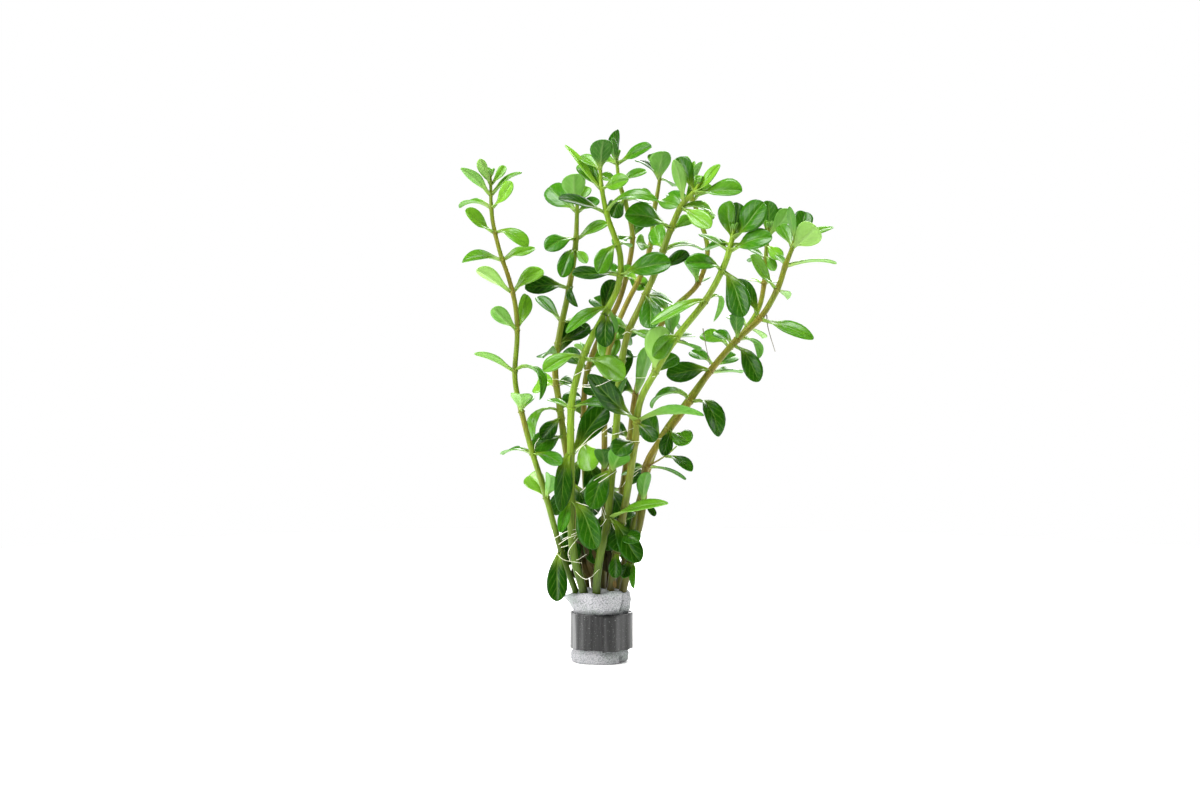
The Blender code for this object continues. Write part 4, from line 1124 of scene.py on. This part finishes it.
def build_lead(finish):
    """A flat strip with a softened edge, wound round the foam."""
    total = math.tau + STRIP_LAP - STRIP_START_HIDDEN
    length = total * (STRIP_INNER_RADIUS + STRIP_THICKNESS)
    along, up = STRIP_GRID
    deselect_all()
    bpy.ops.mesh.primitive_grid_add(x_subdivisions=along, y_subdivisions=up, size=1)
    piece = bpy.context.object
    piece.name = "wound_lead"
    bpy.ops.object.mode_set(mode="EDIT")
    bpy.ops.mesh.select_all(action="SELECT")
    bpy.ops.transform.resize(value=(length * MM, STRIP_WIDTH * MM, 1))
    bpy.ops.object.mode_set(mode="OBJECT")
    apply_modifier(piece, "SOLIDIFY", thickness=STRIP_THICKNESS * MM, offset=1)
    apply_modifier(piece, "BEVEL", width=STRIP_ARRIS * MM, segments=2, limit_method="ANGLE",
                   angle_limit=STRIP_CORNER)
    flat = read_places(piece.data) / MM
    turned = (flat[:, 0] / length + 0.5) * total
    angle = STRIP_OUTER_END + turned
    drop = np.interp(turned, (0, STRIP_DROP_TURN), (STRIP_END_DROP, 0))
    (dent, dents), (ripple, ripples) = STRIP_DENTS, STRIP_RIPPLES
    uneven = (dent * np.sin(angle * dents + 1)
              + ripple * np.sin(angle * ripples + flat[:, 1] * 0.25))
    radius = strip_radius(turned) + flat[:, 2] + uneven
    (wave, waves), (ripple, ripples) = EDGE_WAVES, EDGE_RIPPLES
    edge = wave * np.sin(angle * waves) + ripple * np.sin(angle * ripples + 2)
    height = STRIP_BOTTOM - drop + flat[:, 1] + STRIP_WIDTH / 2 + edge
    places = np.column_stack((np.cos(angle) * radius, np.sin(angle) * radius, height))
    write_places(piece.data, places * MM)
    piece.data.materials.append(finish)
    face_outwards(piece)
    bpy.ops.object.shade_smooth_by_angle(angle=STRIP_EDGE)
    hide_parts("lead_strip")
    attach(piece, "root")
    return piece


# Materials

def leaf_material(name, dark, middle, bright, base, vein, glow, roughness, share):
    """Living leaf, grown smooth: satin green, paler along its veins, lit through from behind."""
    made, tree, shader = new_material(name)
    blade = add_node(tree, "UVMap", {"uv_map": "blade"})
    place = add_node(tree, "SeparateXYZ", links={0: blade.outputs[0]})
    own = add_node(tree, "UVMap", {"uv_map": "tone"})
    tone = add_node(tree, "SeparateXYZ", links={0: own.outputs[0]})
    where = add_node(tree, "TexCoord")

    # Blotches of about 2 mm, and cells of 0.4 mm
    blotch = add_node(tree, "TexNoise", {"Scale": 420.0, "Detail": 3.0},
                      {"Vector": where.outputs["Object"]})
    cells = add_node(tree, "TexNoise", {"Scale": 2600.0, "Detail": 2.0},
                     {"Vector": where.outputs["Object"]})
    shift = add_node(tree, "MapRange", {"To Min": -0.14, "To Max": 0.14},
                     {"Value": blotch.outputs["Fac"]})
    age = add_node(tree, "Math", {"operation": "ADD", "use_clamp": True},
                   {0: tone.outputs["X"], 1: shift.outputs["Result"]})
    green = add_node(tree, "ValToRGB",
                     {"stops": ((0.0, linear(dark)), (0.5, linear(middle)),
                                (1.0, linear(bright)))},
                     {"Fac": age.outputs[0]})

    # How far from the midrib, from 0 to 1
    off = add_node(tree, "Math", {"operation": "SUBTRACT", 1: 0.5},
                   {0: place.outputs["X"]})
    away = add_node(tree, "Math", {"operation": "ABSOLUTE"}, {0: off.outputs[0]})
    rib = add_node(tree, "MapRange",
                   {"interpolation_type": "SMOOTHSTEP", "From Min": 0.05, "From Max": 0.14,
                    "To Min": 1.0, "To Max": 0.0}, {"Value": away.outputs[0]})
    fade = add_node(tree, "MapRange", {"From Min": 0.55, "From Max": 0.95,
                    "To Min": 1.0, "To Max": 0.25}, {"Value": place.outputs["Y"]})
    midrib = add_node(tree, "Math", {"operation": "MULTIPLY"},
                      {0: rib.outputs["Result"], 1: fade.outputs["Result"]})

    # Side veins run out and forwards, seven to a leaf
    climb = add_node(tree, "Math", {"operation": "MULTIPLY", 1: -5.5}, {0: away.outputs[0]})
    count = add_node(tree, "Math", {"operation": "MULTIPLY_ADD", 1: 7.5},
                     {0: place.outputs["Y"], 2: climb.outputs[0]})
    saw = add_node(tree, "Math", {"operation": "PINGPONG", 1: 0.5}, {0: count.outputs[0]})
    veins = add_node(tree, "MapRange",
                     {"interpolation_type": "SMOOTHSTEP", "From Min": 0.0, "From Max": 0.16,
                      "To Min": 1.0, "To Max": 0.0}, {"Value": saw.outputs[0]})
    inner = add_node(tree, "MapRange", {"From Min": 0.3, "From Max": 0.5,
                     "To Min": 0.55, "To Max": 0.0}, {"Value": away.outputs[0]})
    side_veins = add_node(tree, "Math", {"operation": "MULTIPLY"},
                          {0: veins.outputs["Result"], 1: inner.outputs["Result"]})
    lines = add_node(tree, "Math", {"operation": "MAXIMUM"},
                     {0: midrib.outputs[0], 1: side_veins.outputs[0]})
    pale = add_node(tree, "Math", {"operation": "MULTIPLY", 1: 0.3},
                    {0: lines.outputs[0]})
    lined = add_node(tree, "Mix", {"data_type": "RGBA", 7: linear(vein)},
                     {0: pale.outputs[0], 6: green.outputs["Color"]})

    # Yellow-green where the blade narrows to the stem
    foot = add_node(tree, "MapRange",
                    {"interpolation_type": "SMOOTHSTEP", "From Min": 0.05, "From Max": 0.42,
                     "To Min": 0.8, "To Max": 0.0}, {"Value": place.outputs["Y"]})
    colour = add_node(tree, "Mix", {"data_type": "RGBA", 7: linear(base)},
                      {0: foot.outputs["Result"], 6: lined.outputs[2]})

    bump = add_node(tree, "Bump", {"Strength": 0.25, "Distance": 0.0001, "invert": True},
                    {"Height": lines.outputs[0]})
    gloss = add_node(tree, "MapRange",
                     {"To Min": roughness - GLOSS_SPREAD, "To Max": roughness + GLOSS_SPREAD},
                     {"Value": cells.outputs["Fac"]})
    tree.links.new(gloss.outputs["Result"], shader.inputs["Roughness"])
    shader.inputs["IOR"].default_value = PLANT_IOR
    sheen = add_node(tree, "MapRange", {"To Min": 0.15, "To Max": 0.5},
                     {"Value": age.outputs[0]})
    tree.links.new(sheen.outputs["Result"], shader.inputs["Specular IOR Level"])
    tree.links.new(colour.outputs[2], shader.inputs["Base Color"])
    tree.links.new(bump.outputs[0], shader.inputs["Normal"])

    # A thick dark leaf lets less light through than a thin young one
    thin = add_node(tree, "MapRange", {"To Min": 0.08, "To Max": 0.75},
                    {"Value": age.outputs[0]})
    lit = add_node(tree, "Mix", {"data_type": "RGBA", 7: linear(glow)},
                   {0: thin.outputs["Result"], 6: colour.outputs[2]})
    through = add_node(tree, "BsdfTranslucent", {}, {"Color": lit.outputs[2]})
    both = add_node(tree, "MixShader", {0: share},
                    {1: shader.outputs[0], 2: through.outputs[0]})
    tree.links.new(both.outputs[0], tree.nodes["Material Output"].inputs["Surface"])
    return made


def stem_material():
    """Living stem, grown smooth: olive with red-brown blushes and pale lengthwise streaks."""
    made, tree, shader = new_material("smooth olive plant stem")
    where = add_node(tree, "TexCoord")
    # Stretched along Z, so the streaks are 0.5 mm wide and 6 mm long
    stretched = add_node(tree, "Mapping", {"Scale": (2200.0, 2200.0, 160.0)},
                         {"Vector": where.outputs["Object"]})
    streaks = add_node(tree, "TexNoise", {"Scale": 1.0, "Detail": 3.0},
                       {"Vector": stretched.outputs[0]})
    patches = add_node(tree, "TexNoise", {"Scale": 60.0, "Detail": 3.0},
                       {"Vector": where.outputs["Object"]})
    own = add_node(tree, "UVMap", {"uv_map": "tone"})
    tone = add_node(tree, "SeparateXYZ", links={0: own.outputs[0]})
    shift = add_node(tree, "MapRange", {"From Min": 0.3, "From Max": 0.7,
                     "To Min": -0.25, "To Max": 0.25}, {"Value": patches.outputs["Fac"]})
    ripe = add_node(tree, "Math", {"operation": "ADD", "use_clamp": True},
                    {0: tone.outputs["X"], 1: shift.outputs["Result"]})
    body = add_node(tree, "ValToRGB",
                    {"stops": ((0.0, linear("#6a4a1c")), (0.35, linear("#7d7222")),
                               (0.65, linear("#6c821a")), (1.0, linear("#75961c")))},
                    {"Fac": ripe.outputs[0]})
    lined = add_node(tree, "MapRange", {"From Min": 0.35, "From Max": 0.65,
                     "To Min": 0.0, "To Max": 0.45}, {"Value": streaks.outputs["Fac"]})
    colour = add_node(tree, "Mix", {"data_type": "RGBA", "blend_type": "MULTIPLY",
                      7: linear("#8c8f78")},
                      {0: lined.outputs["Result"], 6: body.outputs["Color"]})

    # Darker over the lowest 40 mm above the foam
    height = add_node(tree, "SeparateXYZ", links={0: where.outputs["Object"]})
    low = add_node(tree, "MapRange",
                   {"interpolation_type": "SMOOTHSTEP", "From Min": 0.022, "From Max": 0.08,
                    "To Min": 0.95, "To Max": 0.0}, {"Value": height.outputs["Z"]})
    colour = add_node(tree, "Mix", {"data_type": "RGBA", "blend_type": "MULTIPLY",
                      7: linear("#8c9a78")},
                      {0: low.outputs["Result"], 6: colour.outputs[2]})
    bump = add_node(tree, "Bump", {"Strength": 0.4, "Distance": 0.0002},
                    {"Height": streaks.outputs["Fac"]})
    shader.inputs["Roughness"].default_value = 0.42
    shader.inputs["Specular IOR Level"].default_value = 0.28
    shader.inputs["IOR"].default_value = PLANT_IOR
    shader.inputs["Subsurface Weight"].default_value = 0.12
    shader.inputs["Subsurface Radius"].default_value = (0.0010, 0.0012, 0.0003)
    shader.inputs["Subsurface Scale"].default_value = 1.0
    tree.links.new(colour.outputs[2], shader.inputs["Base Color"])
    tree.links.new(bump.outputs[0], shader.inputs["Normal"])
    return made


def thread_material(name, dark, pale, roughness):
    """A fine living root: soft, matt, with darker and paler stretches."""
    made, tree, shader = new_material(name)
    where = add_node(tree, "TexCoord")
    patches = add_node(tree, "TexNoise", {"Scale": 300.0, "Detail": 2.0},
                       {"Vector": where.outputs["Object"]})
    colour = add_node(tree, "ValToRGB",
                      {"stops": ((0.35, linear(dark)), (0.6, linear(pale)))},
                      {"Fac": patches.outputs["Fac"]})
    shader.inputs["Roughness"].default_value = roughness
    tree.links.new(colour.outputs["Color"], shader.inputs["Base Color"])
    return made


def foam_material():
    """Open-cell filter foam, sawn: matt pale grey, with painted shade darkening its pores, pale on
    its cell walls.
    """
    made, tree, shader = new_material("sawn open-cell foam")
    where = add_node(tree, "TexCoord")
    # Cells of 0.4 mm, and a green stain from the plants in patches of about 8 mm
    cells = add_node(tree, "TexVoronoi", {"Scale": 2400.0, "feature": "F1"},
                     {"Vector": where.outputs["Object"]})
    grain = add_node(tree, "TexNoise", {"Scale": 4200.0, "Detail": 4.0},
                     {"Vector": where.outputs["Object"]})
    stain = add_node(tree, "TexNoise", {"Scale": 130.0, "Detail": 3.0},
                     {"Vector": where.outputs["Object"]})
    # Painted shade: the grey darkens where the cells sink in, as shade falls in the pores
    body = add_node(tree, "ValToRGB",
                    {"stops": ((0.1, linear("#a4a4a6")), (0.5, linear("#949496")),
                               (0.9, linear("#626467")))},
                    {"Fac": cells.outputs["Distance"]})
    flecks = add_node(tree, "MapRange",
                      {"From Min": 0.55, "From Max": 0.72, "To Min": 0.0, "To Max": 0.5},
                      {"Value": grain.outputs["Fac"]})
    flecked = add_node(tree, "Mix", {"data_type": "RGBA", 7: linear("#c4c4c6")},
                       {0: flecks.outputs["Result"], 6: body.outputs["Color"]})
    green = add_node(tree, "MapRange",
                     {"interpolation_type": "SMOOTHSTEP", "From Min": 0.45, "From Max": 0.7,
                      "To Min": 0.0, "To Max": 0.55}, {"Value": stain.outputs["Fac"]})
    colour = add_node(tree, "Mix", {"data_type": "RGBA", "blend_type": "MULTIPLY",
                      7: linear("#b9d0bd")},
                      {0: green.outputs["Result"], 6: flecked.outputs[2]})
    bump = add_node(tree, "Bump", {"Strength": 0.55, "Distance": 0.0004, "invert": True},
                    {"Height": cells.outputs["Distance"]})
    shader.inputs["Roughness"].default_value = 0.85
    tree.links.new(colour.outputs[2], shader.inputs["Base Color"])
    tree.links.new(bump.outputs[0], shader.inputs["Normal"])
    return made


def lead_material():
    """Rolled sheet lead, bent by hand: dull grey, tarnished, with specks of white bloom and
    painted highlight in bands across its front.
    """
    made, tree, shader = new_material("rolled sheet lead")
    where = add_node(tree, "TexCoord")
    # Tarnish in streaks about 2 mm wide drawn out upwards, specks of 0.4 mm
    tall = add_node(tree, "Mapping", {"Scale": (1.0, 1.0, 0.04)},
                    {"Vector": where.outputs["Object"]})
    tarnish = add_node(tree, "TexNoise", {"Scale": 420.0, "Detail": 5.0},
                       {"Vector": tall.outputs[0]})
    specks = add_node(tree, "TexNoise", {"Scale": 2600.0, "Detail": 2.0},
                      {"Vector": where.outputs["Object"]})
    # Painted highlight: bands across the front, set by place from left to right, brighten the lead
    # where lamps reflect in it
    place = add_node(tree, "SeparateXYZ", links={0: where.outputs["Object"]})
    share = add_node(tree, "MapRange",
                     {"From Min": -PAINTED_HIGHLIGHT_REACH * MM, "From Max": PAINTED_HIGHLIGHT_REACH * MM},
                     {"Value": place.outputs["X"]})
    highlight_stops = tuple((0.5 + across / (2 * PAINTED_HIGHLIGHT_REACH), (bright, bright, bright, 1))
                  for across, bright in PAINTED_HIGHLIGHT_BANDS)
    painted_highlight = add_node(tree, "ValToRGB", {"stops": highlight_stops}, {"Fac": share.outputs["Result"]})
    # Tarnish plus the painted highlight choose how light the grey is
    tarnish_and_painted_highlight = add_node(tree, "Math", {"operation": "ADD", "use_clamp": True},
                     {0: tarnish.outputs["Fac"], 1: painted_highlight.outputs["Color"]})
    grey = add_node(tree, "ValToRGB",
                    {"stops": ((0.3, linear("#232323")), (0.5, linear("#2e2e2e")),
                               (0.75, linear("#4e4e4e")), (1.0, linear("#969696")))},
                    {"Fac": tarnish_and_painted_highlight.outputs[0]})
    bloom = add_node(tree, "MapRange",
                     {"From Min": 0.66, "From Max": 0.76, "To Min": 0.0, "To Max": 0.35},
                     {"Value": specks.outputs["Fac"]})
    colour = add_node(tree, "Mix", {"data_type": "RGBA", 7: linear("#b8bab8")},
                      {0: bloom.outputs["Result"], 6: grey.outputs["Color"]})
    rough = add_node(tree, "MapRange", {"To Min": 0.3, "To Max": 0.55},
                     {"Value": tarnish.outputs["Fac"]})
    both = add_node(tree, "Math", {"operation": "MULTIPLY_ADD", 1: 0.3},
                    {0: specks.outputs["Fac"], 2: tarnish.outputs["Fac"]})
    bump = add_node(tree, "Bump", {"Strength": 0.35, "Distance": 0.0003},
                    {"Height": both.outputs[0]})
    shader.inputs["Metallic"].default_value = 0.85
    tree.links.new(colour.outputs[2], shader.inputs["Base Color"])
    tree.links.new(rough.outputs["Result"], shader.inputs["Roughness"])
    tree.links.new(bump.outputs[0], shader.inputs["Normal"])
    return made


def paper_material():
    """Plain white studio paper, matt."""
    made, _, shader = new_material("matt white studio paper")
    shader.inputs["Base Color"].default_value = linear("#fcfcfc")
    shader.inputs["Roughness"].default_value = 0.9
    return made


# Studio

def build_studio():
    deselect_all()
    bpy.ops.mesh.primitive_circle_add(vertices=TABLE_SIDES, radius=TABLE_RADIUS,
                                      fill_type="NGON")
    floor = bpy.context.object
    floor.name = "studio_floor"
    floor.data.materials.append(paper_material())

    # White walls stand behind, but only a share of their light falls on the bunch
    world = bpy.data.worlds.new("white studio")
    world.use_nodes = True
    tree = world.node_tree
    tree.nodes["Background"].inputs["Color"].default_value = (1, 1, 1, 1)
    tree.nodes["Background"].inputs["Strength"].default_value = WALL_LIGHT
    seen = add_node(tree, "Background", {"Color": (1, 1, 1, 1), "Strength": 1.0})
    rays = add_node(tree, "LightPath")
    both = add_node(tree, "MixShader", links={
        0: rays.outputs["Is Camera Ray"], 1: tree.nodes["Background"].outputs[0],
        2: seen.outputs[0]})
    tree.links.new(both.outputs[0], tree.nodes["World Output"].inputs["Surface"])
    bpy.context.scene.world = world
    bpy.context.scene.view_settings.view_transform = "Standard"

    for name, place, aim, size, power in LAMPS:
        light = bpy.data.lights.new(name, "AREA")
        light.size = size
        light.energy = power
        lamp = bpy.data.objects.new(name, light)
        lamp.visible_camera = False
        lamp.location = place
        lamp.rotation_euler = (Vector(aim) - Vector(place)).to_track_quat("-Z", "Y").to_euler()
        bpy.context.scene.collection.objects.link(lamp)

    camera = bpy.data.objects.new("camera", bpy.data.cameras.new("camera"))
    camera.data.lens = CAMERA_LENS
    camera.location = CAMERA_PLACE
    camera.rotation_euler = (CAMERA_PITCH, 0, 0)
    bpy.context.scene.collection.objects.link(camera)
    bpy.context.scene.camera = camera


def main():
    build_studio()
    finishes = {
        "upper": leaf_material("satin leaf upper face", dark="#113a00", middle="#347006",
                               bright="#76ac28", base="#86a42a", vein="#8eb84a",
                               glow="#a0ce38", roughness=0.28, share=0.28),
        "lower": leaf_material("matt leaf underside", dark="#306616", middle="#5a9630",
                               bright="#94c25a", base="#93b04e", vein="#a6c878",
                               glow="#a8d060", roughness=0.4, share=0.28),
        "stem": stem_material(),
    }
    masters = {name: model_leaf(name, outline, finishes["upper"], finishes["lower"])
               for name, outline in LEAF_OUTLINES.items()}
    build_foam(foam_material())
    build_lead(lead_material())
    for number, shoot in SHOOTS.items():
        build_shoot(number, shoot, masters, finishes)
    build_twig(masters, finishes)
    dead = leaf_material("withered leaf", dark="#1f1e0c", middle="#38340f", bright="#6c5219",
                         base="#4a431a", vein="#5a5228", glow="#6e5a22", roughness=0.7,
                         share=0.12)
    brown = {name: model_leaf(name, outline, dead, dead)
             for name, outline in LEAF_OUTLINES.items()}
    build_dead_leaves(brown)
    for master in [*masters.values(), *brown.values()]:
        bpy.data.objects.remove(master)
    build_roots("white_roots", WHITE_ROOTS, WHITE_ROOT_RADIUS,
                thread_material("soft white root", "#cfd3a8", "#f0f0dc", 0.6))
    build_roots("brown_roots", BROWN_ROOTS, BROWN_ROOT_RADIUS,
                thread_material("old brown root", "#45422c", "#6c664a", 0.7))


main()
